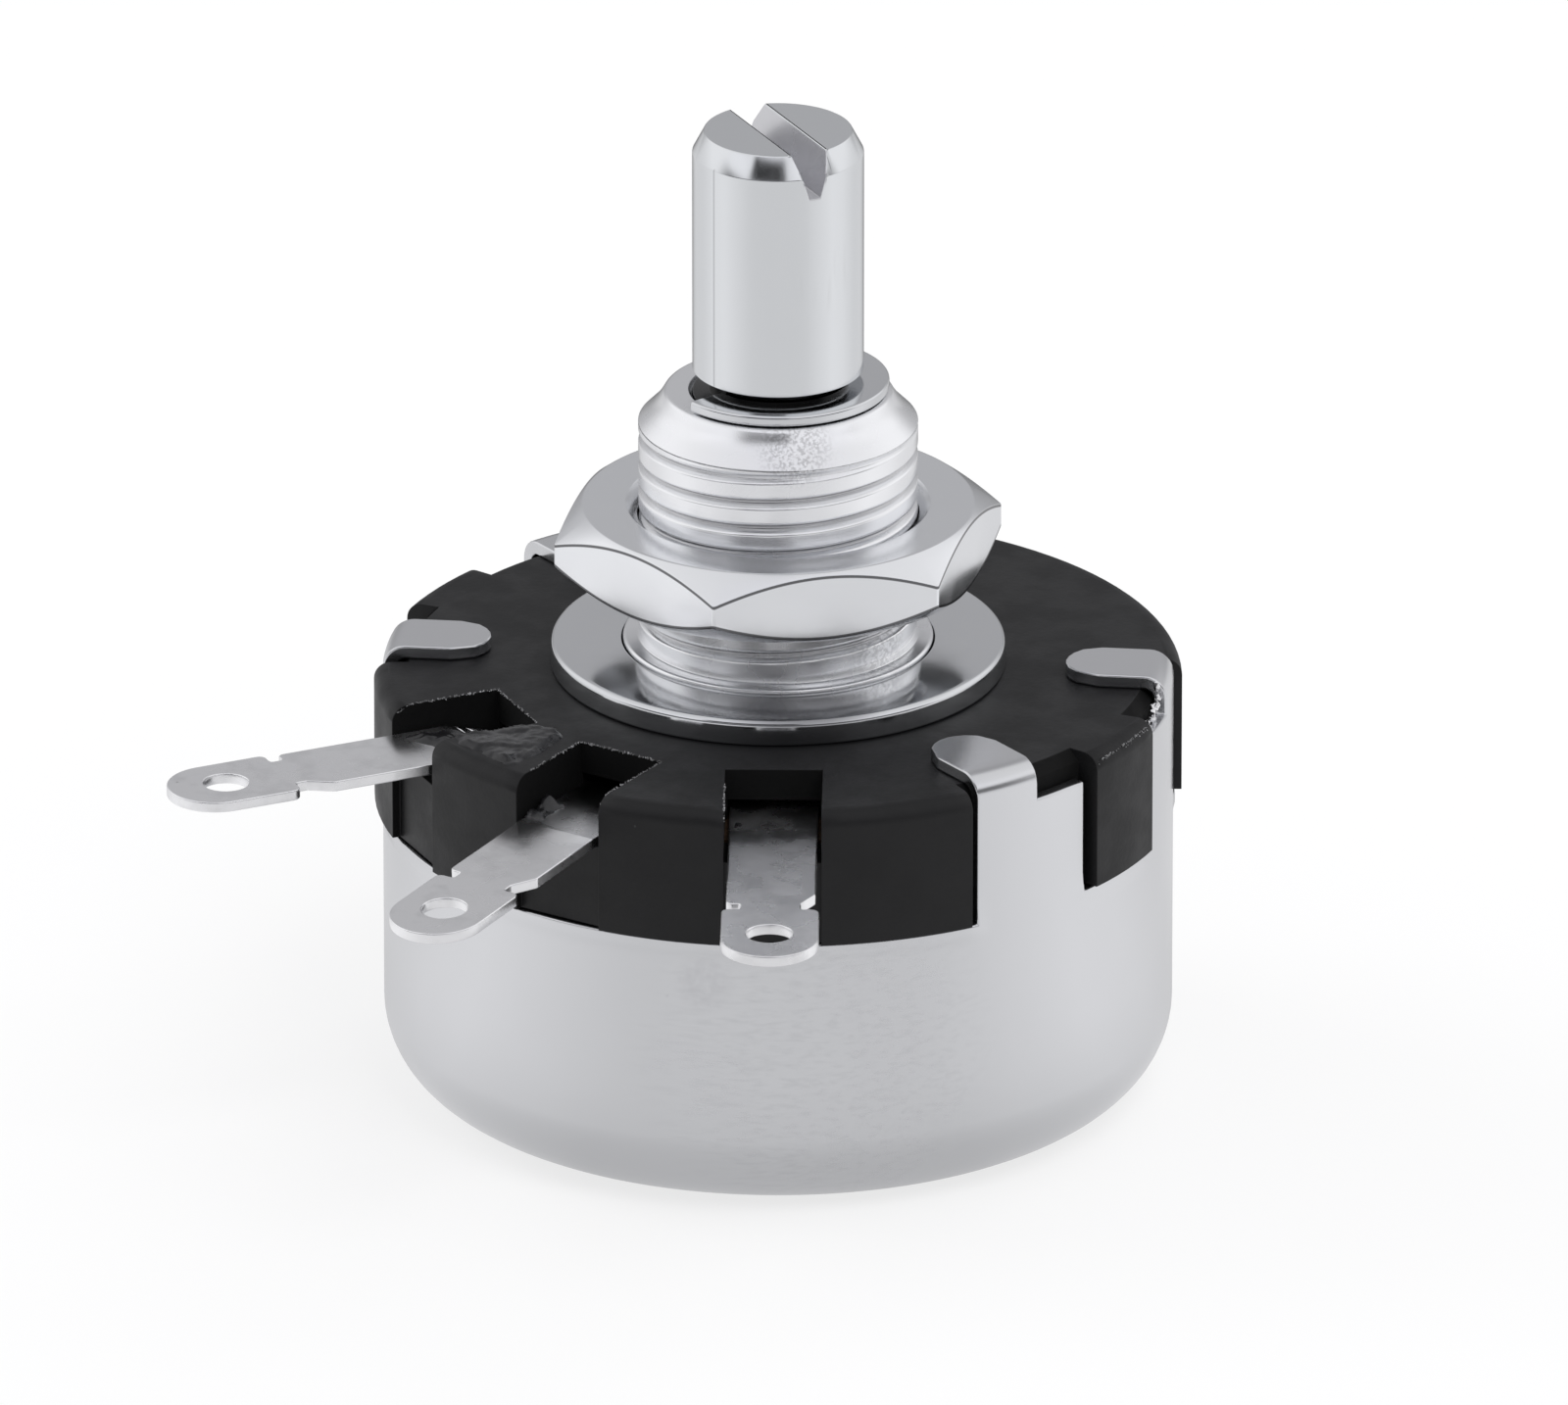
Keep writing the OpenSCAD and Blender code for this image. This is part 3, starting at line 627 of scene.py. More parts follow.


# %% [markdown]
# ## Plated metal
# Four bright metals share the same plating but not the same tool: turned pieces keep rings, the
# pressed washer is a near mirror, and the shaft keeps marks along its length. Marks of use, such as
# the rubbed patch on the crown, are masks at a place. Painted shade darkens the thread's grooves, the
# washer's front and the shaft's groove at the clip, and a painted dark reflection lines the nut
# where chamfer meets flat.

# %% Finishes of the plated pieces


def turned_nickel():
    metal = Finish("turned_nickel", (0.89, 0.895, 0.91), 1.0, 0.2)
    metal.raise_by(metal.use(LATHE, Lines=7000.0), 0.0025)
    metal.roughen(metal.cloud(400.0), 0.08)
    # Painted shade: the thread's grooves below the crown are darkened.
    groove_shade = metal.span(metal.radius(), THREAD_R - 0.14, THREAD_R - 0.24)
    below_crown = metal.span(metal.along(0, 0, 1), MOUTH_Z - 1.2, MOUTH_Z - 1.35)
    metal.tint(metal.times(groove_shade, below_crown), (0.40, 0.40, 0.41), 0.7)
    bruise = metal.near(seen_at(0.6, -4.4, 9.8), 1.7)
    worn = metal.times(bruise, metal.cloud(9000.0, 0.42, 0.62, 3.0))
    metal.tint(worn, (0.42, 0.42, 0.43), 0.6)
    smudge = metal.times(metal.near(seen_at(3.6, -3.2, 2.2), 1.8), metal.cloud(6000.0, 0.42, 0.6, 3.0))
    metal.tint(smudge, (0.5, 0.5, 0.51), 0.6)
    return metal.done()


def flat_nickel():
    metal = Finish("flat_nickel", (0.68, 0.69, 0.705), 1.0, 0.10)
    metal.roughen(metal.cloud(300.0), 0.07)
    metal.roughen(metal.use(HAIRLINES, Width=0.008, Amount=0.4), 0.12)
    metal.raise_by(metal.use(LATHE, Lines=3000.0), 0.0006)
    # Painted shade: a soft dark patch on the washer's front.
    metal.tint(metal.near(seen_at(0.8, -6.7, 0.95), 3.2), (0.20, 0.20, 0.21), 0.75)
    return metal.done()


def nut_nickel():
    metal = Finish("nut_nickel", (0.84, 0.85, 0.87), 1.0, 0.16)
    metal.roughen(metal.cloud(300.0), 0.08)
    metal.raise_by(metal.cloud(160.0, 0.3, 0.7, 1.0), 0.004)
    slope = NUT_CHAMFER / (NUT_AF / 2 / math.cos(math.pi / 6) - NUT_FACE_R)
    drop = metal.times(metal.less(metal.radius(), NUT_FACE_R), slope)
    rise = metal.along(0, 0, 1)
    outside = metal.span(metal.radius(), NUT_FACE_R + 0.04, NUT_FACE_R + 0.12)
    # Painted reflection: a dark line where each chamfer meets a flat, top and bottom, stands in for a
    # rounded edge mirroring something dark.
    for away in (metal.less(NUT_Z + NUT_T, rise), metal.less(rise, NUT_Z)):
        gap = metal.less(away, drop)
        line = metal.times(metal.span(gap, 0.0, 0.03), metal.span(gap, 0.13, 0.09))
        metal.tint(metal.times(line, outside), (0.08, 0.08, 0.085), 0.9)
    return metal.done()


def shaft_nickel():
    metal = Finish("drawn_nickel", (0.74, 0.755, 0.77), 1.0, 0.12)
    metal.roughen(metal.cloud(1.0, 0.3, 0.7, 3.0, (3000, 3000, 40)), 0.03)
    metal.roughen(metal.cloud(200.0), 0.06)
    draw_line = metal.near(seen_at(-2.24, -2.0, 0), 0.06, upright=True)
    metal.tint(draw_line, (0.42, 0.43, 0.44), 0.6)
    rub = metal.times(metal.near(seen_at(1.6, -2.5, 15.5), 1.6),
                      metal.cloud(1.0, 0.5, 0.7, 3.0, (2600, 2600, 300)))
    metal.tint(rub, (0.66, 0.67, 0.68), 0.5)
    rise = metal.along(0, 0, 1)
    deep = metal.less(TOP_Z, rise)
    across = calc(metal.tree, "ABSOLUTE", metal.along(-math.sin(SLOT_TURN), math.cos(SLOT_TURN), 0))
    lean = (SLOT_TOP_W - SLOT_FLOOR_W) / 2 / SLOT_DEPTH
    off = metal.plus(across, metal.times(deep, lean))
    inside = metal.span(off, SLOT_TOP_W / 2 + 0.03, SLOT_TOP_W / 2 + 0.015)
    milled = metal.times(inside, metal.span(deep, SLOT_DEPTH + 0.1, SLOT_DEPTH + 0.03))
    metal.tint(metal.times(milled, metal.span(deep, 0.05, 0.1)), (0.70, 0.70, 0.72), 1.0)
    metal.roughen(milled, 0.12)
    # Painted shadow: the groove where the clip sits, and just below it, is painted black.
    neck = metal.span(rise, MOUTH_Z + GROOVE_TOP - 0.01, MOUTH_Z + GROOVE_TOP - 0.05)
    metal.tint(metal.times(neck, metal.span(rise, MOUTH_Z - 0.3, MOUTH_Z)), (0.02, 0.02, 0.02))
    return metal.done()


TURNED, FLAT, DRAWN, NUT = turned_nickel(), flat_nickel(), shaft_nickel(), nut_nickel()
print("plated finishes", len((TURNED, FLAT, DRAWN, NUT)))

# %% [markdown]
# ## Sheet metal, moulding and resin
# The can is brushed by handling and has one stain, the lugs are dulled where flux lay, and the
# moulding has pale specks. The middle lug's root, deep in its slot, is painted nearly black as
# painted shade. The resin is glossy with long low bumps, and pale streaks along it are painted
# highlights.

# %% Finishes of sheet metal, moulding and resin


def satin_steel():
    metal = Finish("satin_steel", (0.69, 0.695, 0.71), 1.0, 0.2)
    metal.roughen(metal.cloud(160.0), 0.06)
    metal.raise_by(metal.cloud(140.0, 0.2, 0.8, 1.0), 0.01)
    arcs = metal.cloud(1.0, 0.42, 0.75, 3.0, (160, 2600, 5200), (25, 10, 35))
    brushed = metal.times(arcs, metal.near(seen_at(1.5, -13.8, -9.5), 8.0))
    metal.tint(brushed, (0.60, 0.605, 0.62), 0.45)
    metal.roughen(brushed, 0.05)
    stain = metal.times(metal.near(seen_at(-2.6, -13.6, -6.6), 1.3), metal.cloud(4000.0, 0.1, 0.8, 4.0))
    metal.tint(stain, (0.56, 0.56, 0.58), 0.5)
    specks = metal.use(PITS, Scale=900.0, Size=0.10, Spread=0.15)
    metal.tint(specks, (0.5, 0.5, 0.52), 0.5)
    return metal.done()


def tinned_sheet():
    metal = Finish("tinned_sheet", (0.90, 0.90, 0.91), 1.0, 0.22)
    metal.roughen(metal.cloud(500.0), 0.1)
    metal.tint(metal.cloud(900.0, 0.45, 0.7), (0.76, 0.76, 0.77), 0.6)
    metal.raise_by(metal.cloud(900.0, 0.3, 0.7), 0.002)
    metal.tint(metal.use(PITS, Scale=900.0, Size=0.14, Spread=0.08), (0.3, 0.3, 0.3), 0.6)
    # Painted shade: the middle lug's root inside its slot is painted nearly black.
    metal.tint(metal.near(seen_at(-5.7, -8.7, -1.5), 3.0), (0.02, 0.02, 0.02), 0.97)
    return metal.done()


def black_phenolic():
    black = Finish("black_phenolic", (0.006, 0.006, 0.0065), 0.0, 0.44, 0.30)
    black.roughen(black.cloud(500.0), 0.1)
    black.raise_by(black.cloud(5200.0, 0.3, 0.7, 2.0), 0.002)
    black.raise_by(black.cloud(180.0, 0.3, 0.7, 1.0), 0.01)
    black.tint(black.use(PITS, Scale=500.0, Size=0.07, Spread=0.2), (0.08, 0.08, 0.08), 0.8)
    return black.done()


def wet_resin():
    black = Finish("wet_resin", (0.010, 0.010, 0.011), 0.0, 0.16, 0.5)
    black.roughen(black.cloud(900.0), 0.15)
    black.raise_by(black.cloud(1.0, 0.3, 0.7, 1.0, (160, 480, 400), (0, 0, 20)), 0.03)
    specks = black.use(PITS, Scale=1300.0, Size=0.22, Spread=0.06)
    black.tint(specks, (0.45, 0.45, 0.46), 0.9)
    # Painted highlight: pale streaks on the black resin.
    streak_highlight = black.cloud(1.0, 0.55, 0.8, 1.0, (150, 560, 480), (0, 0, 20))
    black.tint(streak_highlight, (0.11, 0.11, 0.115), 0.6)
    return black.done()


SATIN, TINNED, BLACK, RESIN = satin_steel(), tinned_sheet(), black_phenolic(), wet_resin()
print("sheet, moulding and resin", len((SATIN, TINNED, BLACK, RESIN)))

# %% [markdown]
# ## Plain finishes
# The rest need only clouds: each row gives the colour, how metallic and rough it is, and then what
# every cloud changes and by how much.

# %% Finishes made of clouds alone
PLAIN_FINISHES = [
    # Painted shade: a duller, less shiny copy of the black moulding, for the faces deep in the pockets.
    ("pocket_shade_phenolic", ((0.006, 0.006, 0.006), 0.0, 0.7, 0.12),
     [("roughen", (900.0,), 0.15), ("raise_by", (2600.0, 0.3, 0.7, 2.0), 0.004)]),
    ("chipped_moulding", ((0.34, 0.34, 0.35), 0.0, 0.45, 0.5),
     [("tint", (2600.0, 0.4, 0.6), (0.10, 0.10, 0.10), 0.8), ("roughen", (1500.0,), 0.2),
      ("raise_by", (4000.0, 0.3, 0.7), 0.01)]),
    ("paper_board", ((0.045, 0.028, 0.018), 0.0, 0.5, 0.3),
     [("tint", (1.0, 0.35, 0.7, 3.0, (900, 5000, 5000), (0, 0, 30)), (0.12, 0.07, 0.04), 0.7),
      ("raise_by", (1.0, 0.35, 0.7, 3.0, (900, 5000, 5000), (0, 0, 30)), 0.004)]),
    ("printed_carbon", ((0.02, 0.02, 0.022), 0.0, 0.45),
     [("tint", (3500.0, 0.4, 0.7), (0.07, 0.07, 0.075), 0.6), ("roughen", (800.0,), 0.15),
      ("raise_by", (6000.0,), 0.003)]),
    ("printed_silver", ((0.72, 0.72, 0.70), 1.0, 0.35),
     [("tint", (2500.0, 0.45, 0.7), (0.55, 0.54, 0.50), 0.6), ("roughen", (1200.0,), 0.15),
      ("raise_by", (5000.0,), 0.003)]),
    ("red_fibre", ((0.20, 0.035, 0.02), 0.0, 0.55, 0.3),
     [("tint", (1.0, 0.4, 0.7, 3.0, (800, 4000, 4000), (0, 0, 50)), (0.34, 0.09, 0.05), 0.6),
      ("roughen", (900.0,), 0.12)]),
    ("spring_bronze", ((0.62, 0.38, 0.18), 1.0, 0.24),
     [("roughen", (1.0, 0.3, 0.7, 3.0, (6000, 120, 2000)), 0.15),
      ("tint", (600.0, 0.5, 0.7), (0.40, 0.22, 0.10), 0.5)])]


def plain_finish(name, look, clouds):
    """A finish whose clouds each change one thing."""
    finish = Finish(name, *look)
    for change, cloud, *amount in clouds:
        getattr(finish, change)(finish.cloud(*cloud), *amount)
    return finish.done()


POCKET_SHADE, PALE, BOARD, CARBON, SILVER, FIBRE, BRONZE = [plain_finish(*row) for row in PLAIN_FINISHES]
print("plain finishes", len(PLAIN_FINISHES))

# %% [markdown]
# ## The can
# The can is drawn from one sheet: a flat back, a round corner, a straight wall, and four tall
# stretches of wall whose tabs are bent over the base. It is laid out as one grid of quads that
# follows the outer face from the back's centre to each tab's tip. Solidify gives the sheet its
# thickness and a bevel rounds the sheared edges, which is where plated steel shines.

# %% Lay out the can
CAN_R = 13.9
CAN_CORNER_R = 3.0
RIM_Z = FACE_Z - 5.0
LIP_H, LIP_W, LIP_FOOT = 0.42, 0.07, 0.16
SHOULDER_Z = FACE_Z - 0.9
PAIR_AT, NOTCH_HALF, PAIR_HALF = 2.5, 9.3, 29.6
TAB_W, TAB_TIP_R, TAB_BEND = 2.6, 10.14, 0.85
TAB_AT = PAIR_HALF - math.degrees(math.asin(TAB_W / 2 / CAN_R))
TAB_MIDDLES = [PAIR_AT + turn + side * TAB_AT for turn in (0, 180) for side in (-1, 1)]
TAB_STEPS, TONGUE_ROWS = 8, 10
STEP_ANGLE, TALL_ROWS = 1.6, 6
BACK_ROWS = (0, 2.5, 5, 7.5, 9.5)


def tab_lines():
    """How far the lines along a tab lie from its middle."""
    return [TAB_W * (k / TAB_STEPS - 0.5) for k in range(TAB_STEPS + 1)]


def can_angles():
    """The grid's angles in degrees, with the ends of every tall stretch and every tab's lines."""
    stops = [PAIR_AT + turn + end for turn in (0, 180) for end in (-PAIR_HALF, -NOTCH_HALF,
                                                                   NOTCH_HALF, PAIR_HALF)]
    stops += [middle + math.degrees(math.asin(y / CAN_R)) for middle in TAB_MIDDLES for y in tab_lines()]
    stops = sorted(stop % 360 for stop in stops)
    angles = []
    for here, ahead in zip(stops, stops[1:] + [stops[0] + 360]):
        pieces = max(1, math.ceil((ahead - here) / STEP_ANGLE))
        angles += [here + (ahead - here) * k / pieces for k in range(pieces)]
    return angles


def in_tall_stretch(angle):
    """Whether an angle lies within one of the four tall stretches of wall."""
    offs = [(angle - PAIR_AT - turn + 180) % 360 - 180 for turn in (0, 180)]
    return any(NOTCH_HALF < abs(off) < PAIR_HALF for off in offs)


def can_sheet():
    """The can's outer face: a lathed cup, four tall stretches and four bent tabs, as quads."""
    angles = can_angles()
    cup = [(r, 0) for r in BACK_ROWS]
    cup += arc(CAN_R - CAN_CORNER_R, CAN_CORNER_R, CAN_CORNER_R, -90, 0, 14)
    low_rows = [RIM_Z * 0.5, RIM_Z * 0.7, RIM_Z - 0.9, RIM_Z - LIP_H - LIP_FOOT, RIM_Z - LIP_H,
                RIM_Z - LIP_H / 2, RIM_Z]
    tall_rows = [RIM_Z + (SHOULDER_Z - RIM_Z) * k / TALL_ROWS for k in range(1, TALL_ROWS + 1)]
    path = cup + [(CAN_R, z) for z in low_rows] + [(CAN_R, z) for z in tall_rows]
    low_end = len(cup) + len(low_rows)
    verts, faces = [], []
    for a in angles:
        lip = 0 if in_tall_stretch(a) else LIP_W
        flared = [(r + (lip if low_end - 3 <= k < low_end else 0), z) for k, (r, z) in enumerate(path)]
        verts += spun(flared, math.radians(a))
    m = len(path)
    for i, a in enumerate(angles):
        j = (i + 1) % len(angles)
        middle = (a + ((angles[j] - a) % 360) / 2) % 360
        last = m if in_tall_stretch(middle) else low_end
        faces += [(i * m + k, j * m + k, j * m + k + 1, i * m + k + 1) for k in range(last - 1)]
    for middle in TAB_MIDDLES:
        add_tab(verts, faces, math.radians(middle))
    return verts, faces


def add_tab(verts, faces, at):
    """Adds one tab above the shoulder: wall, round bend, and a tongue with a round tip."""
    top = FACE_Z + CAN_T
    bend = arc(0, top - TAB_BEND, TAB_BEND, 0, 90, 8)
    walls = [(0, SHOULDER_Z)] + [(x - TAB_BEND, z) for x, z in bend]
    first = len(verts)
    rows = []
    for back_off, z in walls:
        rows.append([(math.sqrt(CAN_R ** 2 - y ** 2) + back_off, y, z) for y in tab_lines()])
    for k in range(1, TONGUE_ROWS + 1):
        row = []
        for y in tab_lines():
            start = rows[len(walls) - 1][len(row)][0]
            tip = TAB_TIP_R + TAB_W / 2 - math.sqrt(max((TAB_W / 2) ** 2 - y ** 2, 0))
            row.append((start + (tip - start) * k / TONGUE_ROWS, y, top))
        rows.append(row)
    for row in rows:
        verts += [(x * math.cos(at) - y * math.sin(at), x * math.sin(at) + y * math.cos(at), z)
                  for x, y, z in row]
    wide = TAB_STEPS + 1
    faces += [(first + i * wide + j, first + i * wide + j + 1,
               first + (i + 1) * wide + j + 1, first + (i + 1) * wide + j)
              for i in range(len(rows) - 1) for j in range(TAB_STEPS)]


can = make("can_shell", *can_sheet(), merge=0.002)
modified(can, "SOLIDIFY", thickness=CAN_T * MM, offset=-1, use_even_offset=True)
edge_round(can, 0.09, angle=40, segments=3, clamp=False)
print("can faces", len(can.data.polygons))

# %% [markdown]
# ## The bush and its thread
# The bush is turned: a foot inside, a stem, a collar on the base, and a crown at the mouth. It is
# made as a lathed body with many rows where the thread lies. A Geometry Nodes tree then presses
# the screw's groove into it: each point's angle and height give its phase along the screw, and
# the phase says how deep the point sinks. The depth fades out at both ends, as a die leaves it.

# %% Helpers for Geometry Nodes trees


def geometry_tree(name, labels):
    """An empty tree with a geometry and named float inputs, and those inputs."""
    tree = bpy.data.node_groups.new(name, "GeometryNodeTree")
    tree.interface.new_socket("Geometry", in_out="INPUT", socket_type="NodeSocketGeometry")
    for label in labels:
        tree.interface.new_socket(label, in_out="INPUT", socket_type="NodeSocketFloat")
    tree.interface.new_socket("Geometry", in_out="OUTPUT", socket_type="NodeSocketGeometry")
    return tree, wire(tree, "NodeGroupInput", out=None).outputs


def closed_in(tree, geometry, finish):
    """Ends a tree with its geometry made real and given one finish."""
    real = wire(tree, "GeometryNodeRealizeInstances", {0: geometry})
    return closed(tree, wire(tree, "GeometryNodeSetMaterial", {"Geometry": real, "Material": finish}))


def grown(piece, tree, **sizes):
    """Runs a tree on a piece and settles it; all inputs but the seed are in millimetres."""
    step = piece.modifiers.new(tree.name, "NODES")
    step.node_group = tree
    for item in tree.interface.items_tree:
        if item.name in sizes:
            step[item.identifier] = sizes[item.name] * (1 if item.name == "Seed" else MM)
    return settle(piece)


# %% The screw thread as a Geometry Nodes tree
GROOVE_RIM, GROOVE_FLOOR = 0.24, 0.02
WALL_SHARE = 0.99


def thread_tree():
    """Presses a helical groove into the upright walls of a turned body."""
    tree, given = geometry_tree("screw_thread", ["Radius", "Pitch", "Depth", "Start", "End", "Runout"])
    x, y, z = parts_of(tree, wire(tree, "GeometryNodeInputPosition"))
    angle = calc(tree, "DIVIDE", calc(tree, "ARCTAN2", y, x), 2 * math.pi)
    turns = calc(tree, "SUBTRACT", calc(tree, "DIVIDE", z, given["Pitch"]), angle)
    valley = calc(tree, "ABSOLUTE", calc(tree, "SUBTRACT", calc(tree, "FRACT", turns), 0.5))
    groove = span(tree, valley, GROOVE_RIM, GROOVE_FLOOR)
    low = span(tree, z, given["Start"], calc(tree, "ADD", given["Start"], given["Runout"]))
    high = span(tree, z, given["End"], calc(tree, "SUBTRACT", given["End"], given["Runout"]))
    radius = from_axis(tree, x, y)
    outside = calc(tree, "GREATER_THAN", radius, calc(tree, "MULTIPLY", given["Radius"], WALL_SHARE))
    depth = given["Depth"]
    for share in (groove, low, high, outside):
        depth = calc(tree, "MULTIPLY", depth, share)
    shrink = calc(tree, "SUBTRACT", 1, calc(tree, "DIVIDE", depth, radius))
    moved_x, moved_y = [calc(tree, "MULTIPLY", side, shrink) for side in (x, y)]
    moved = wire(tree, "ShaderNodeCombineXYZ", {0: moved_x, 1: moved_y, 2: z})
    pressed = wire(tree, "GeometryNodeSetPosition", {"Geometry": given["Geometry"], "Position": moved})
    return closed_in(tree, pressed, TURNED)


# %% Turn the bush and press its thread
THREAD_PITCH = 0.96
THREAD_DEPTH, THREAD_RUNOUT = 0.26, 0.5
THREAD_LOW = FACE_Z + COLLAR_H + 0.15
THREAD_HIGH = MOUTH_Z - 1.2
CROWN_H, CROWN_R, MOUTH_R = 1.2, 4.3, 3.95
ROWS_A_TURN = 22
FOOT_R, FOOT_H = 4.7, 0.5


def bush_outline(_):
    """The bush's section: foot, stem, collar, the thread's rows, crown, mouth and bore."""
    rows = round((THREAD_HIGH - THREAD_LOW) / THREAD_PITCH * ROWS_A_TURN)
    low = rounded([(BORE_R, BUSH_FOOT_Z), (FOOT_R, BUSH_FOOT_Z), (FOOT_R, BUSH_FOOT_Z + FOOT_H),
                   (STEM_R, BUSH_FOOT_Z + FOOT_H), (STEM_R, FACE_Z), (COLLAR_R, FACE_Z),
                   (COLLAR_R, FACE_Z + COLLAR_H), (THREAD_R, FACE_Z + COLLAR_H),
                   (THREAD_R, THREAD_LOW), (0, THREAD_LOW)], [0.05] * 6 + [0.12, 0.05, 0, 0], 3)[:-2]
    thread = [(THREAD_R, THREAD_LOW + (THREAD_HIGH - THREAD_LOW) * k / rows) for k in range(1, rows + 1)]
    crown = rounded([(0, THREAD_HIGH - 0.1), (THREAD_R, THREAD_HIGH - 0.1), (THREAD_R, THREAD_HIGH),
                     (CROWN_R, MOUTH_Z - CROWN_H / 2), (MOUTH_R, MOUTH_Z),
                     (BORE_R + 0.1, MOUTH_Z), (BORE_R, MOUTH_Z - 0.15)],
                    [0, 0, 0.9, 4.0, 0.25, 0.04, 0.04], 8)[2:]
    return low + thread + crown


bush = turned("threaded_bush", bush_outline, round_angles(180))
grown(bush, thread_tree(), Radius=THREAD_R, Pitch=THREAD_PITCH, Depth=THREAD_DEPTH, Start=THREAD_LOW,
      End=THREAD_HIGH, Runout=THREAD_RUNOUT)
print("bush faces", len(bush.data.polygons))

# %% [markdown]
# ## The washer, the nut and the clip
# The washer's upper edge is rounded by the die that punched it. A hexagon nut is a ring whose
# outline changes with the angle: the flat lies nearer or farther from the axis, and the chamfer
# cuts the corners back, which draws the curved lines that every nut shows on its flats.

# %% Washer, nut and clip
NUT_BORE_R = 4.95
NUT_SINK = 0.4
NUT_TURN = math.radians(46.8)
NUT_CORNER_ROUND = 0.15
FINE_STEP, FINE_STEPS, FINE_HALF = 0.12, 14, 1.8
CLIP_Z = MOUTH_Z + 0.05
CLIP_IN, CLIP_R, CLIP_T = 2.45, 3.9, 0.4
CLIP_GAP_AT, CLIP_GAP = 212, 78


def washer_outline(_):
    """The washer's section, with its upper outer edge rounded most."""
    low, high = FACE_Z, FACE_Z + WASHER_T
    points = [(COLLAR_R + 0.05, low), (WASHER_R, low), (WASHER_R, high), (COLLAR_R + 0.05, high)]
    return rounded(points, [0.05, 0.12, 0.24, 0.06], 6)


def flat_at(angle):
    """How far the nut's side lies from the axis at an angle, with slightly rounded corners."""
    off = (angle - NUT_TURN + math.pi / 6) % (math.pi / 3) - math.pi / 6
    off = abs(off)
    centre = (NUT_AF / 2 - NUT_CORNER_ROUND) / math.cos(math.pi / 6)
    tangent = math.atan2(NUT_CORNER_ROUND / 2, centre + NUT_CORNER_ROUND * math.cos(math.pi / 6))
    if off < tangent:
        reach_in = NUT_CORNER_ROUND ** 2 - (centre * math.sin(off)) ** 2
        return centre * math.cos(off) + math.sqrt(max(reach_in, 0))
    return NUT_AF / 2 / math.cos(math.pi / 6 - off)


def nut_outline(angle):
    """The nut's section at an angle, with its bore sunk at both ends."""
    low, high = NUT_Z, NUT_Z + NUT_T
    corner_r = NUT_AF / 2 / math.cos(math.pi / 6)
    side = flat_at(angle)
    drop = (side - NUT_FACE_R) / (corner_r - NUT_FACE_R) * NUT_CHAMFER
    points = [(NUT_BORE_R, low + NUT_SINK), (NUT_BORE_R + NUT_SINK, low), (NUT_FACE_R, low),
              (side, low + drop), (side, high - drop), (NUT_FACE_R, high),
              (NUT_BORE_R + NUT_SINK, high), (NUT_BORE_R, high - NUT_SINK)]
    return rounded(points, [0.05, 0.08, 0.2, 0.08, 0.08, 0.2, 0.08, 0.05], 4)


def nut_angles():
    """Even steps, with extra ones where the corners turn."""
    close = [math.radians(k * FINE_STEP) for k in range(-FINE_STEPS, FINE_STEPS + 1)]
    corners = [NUT_TURN + math.pi / 3 * c for c in range(6)]
    away = math.radians(FINE_HALF)
    even = [a for a in round_angles(300)
            if min(abs((a - c + math.pi) % (2 * math.pi) - math.pi) for c in corners) > away]
    return sorted([a % (2 * math.pi) for a in even + [c + d for c in corners for d in close]])


def clip_ring():
    """An open ring with rounded ends, as a bent outline that is swept over the metal's angle."""
    outline = rounded([(CLIP_IN, CLIP_Z), (CLIP_R, CLIP_Z), (CLIP_R, CLIP_Z + CLIP_T),
                       (CLIP_IN, CLIP_Z + CLIP_T)], 0.12, 4)
    first, last = CLIP_GAP_AT + CLIP_GAP / 2, CLIP_GAP_AT - CLIP_GAP / 2 + 360
    steps = 90
    m = len(outline)
    verts = []
    for k in range(steps + 1):
        verts += spun(outline, math.radians(first + (last - first) * k / steps))
    faces = between_rings(steps + 1, m, steps)
    faces += [tuple(range(m)), tuple(steps * m + j for j in reversed(range(m)))]
    return verts, faces


washer = turned("pressed_washer", washer_outline, round_angles(200))
nut = turned("hexagon_nut", nut_outline, nut_angles())
clip = make("retaining_ring", *clip_ring())
edge_round(clip, 0.05, angle=60)
print("nut faces", len(nut.data.polygons), "washer", len(washer.data.polygons))

# %% [markdown]
# ## The shaft
# The shaft is turned and then slotted. The slot is cut as the mill cuts it, out of the finished
# bar, and all its edges are broken by a tiny bevel, so that they read as bright lines.

# %% Turn the shaft, then mill its slot
CHAMFER_W, CHAMFER_H = 0.42, 0.8
GROOVE_R = 2.4
TAIL_HEAD_R, TAIL_HEAD_H = 2.8, 0.49
TAIL_R = 2.5
TAIL_FLAT = 1.875
CUT_HALF, SLOT_REACH, SLOT_CLEAR = 4, 6, 0.15


def shaft_outline(_):
    """The shaft's section: riveted tail, bearing, groove for the clip, plain end and chamfer."""
    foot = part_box("shaft")[0][2] / MM
    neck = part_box("thrust_washer")[0][2] / MM
    groove_top = MOUTH_Z + GROOVE_TOP
    below_slot = TOP_Z - SLOT_DEPTH - SLOT_CLEAR
    points = [(0, foot), (TAIL_HEAD_R, foot), (TAIL_HEAD_R, foot + TAIL_HEAD_H),
              (TAIL_R, foot + TAIL_HEAD_H), (TAIL_R, neck), (SHAFT_R, neck), (SHAFT_R, MOUTH_Z),
              (GROOVE_R, MOUTH_Z), (GROOVE_R, groove_top), (SHAFT_R, groove_top),
              (SHAFT_R, below_slot), (SHAFT_R, below_slot + 0.1), (SHAFT_R, TOP_Z - CHAMFER_H),
              (SHAFT_R - CHAMFER_W, TOP_Z), (0, TOP_Z)]
    return rounded(points, [0, 0.05, 0.05, 0, 0, 0.1, 0.05, 0.02, 0.02, 0.05, 0, 0, 0.12, 0.1, 0], 3)


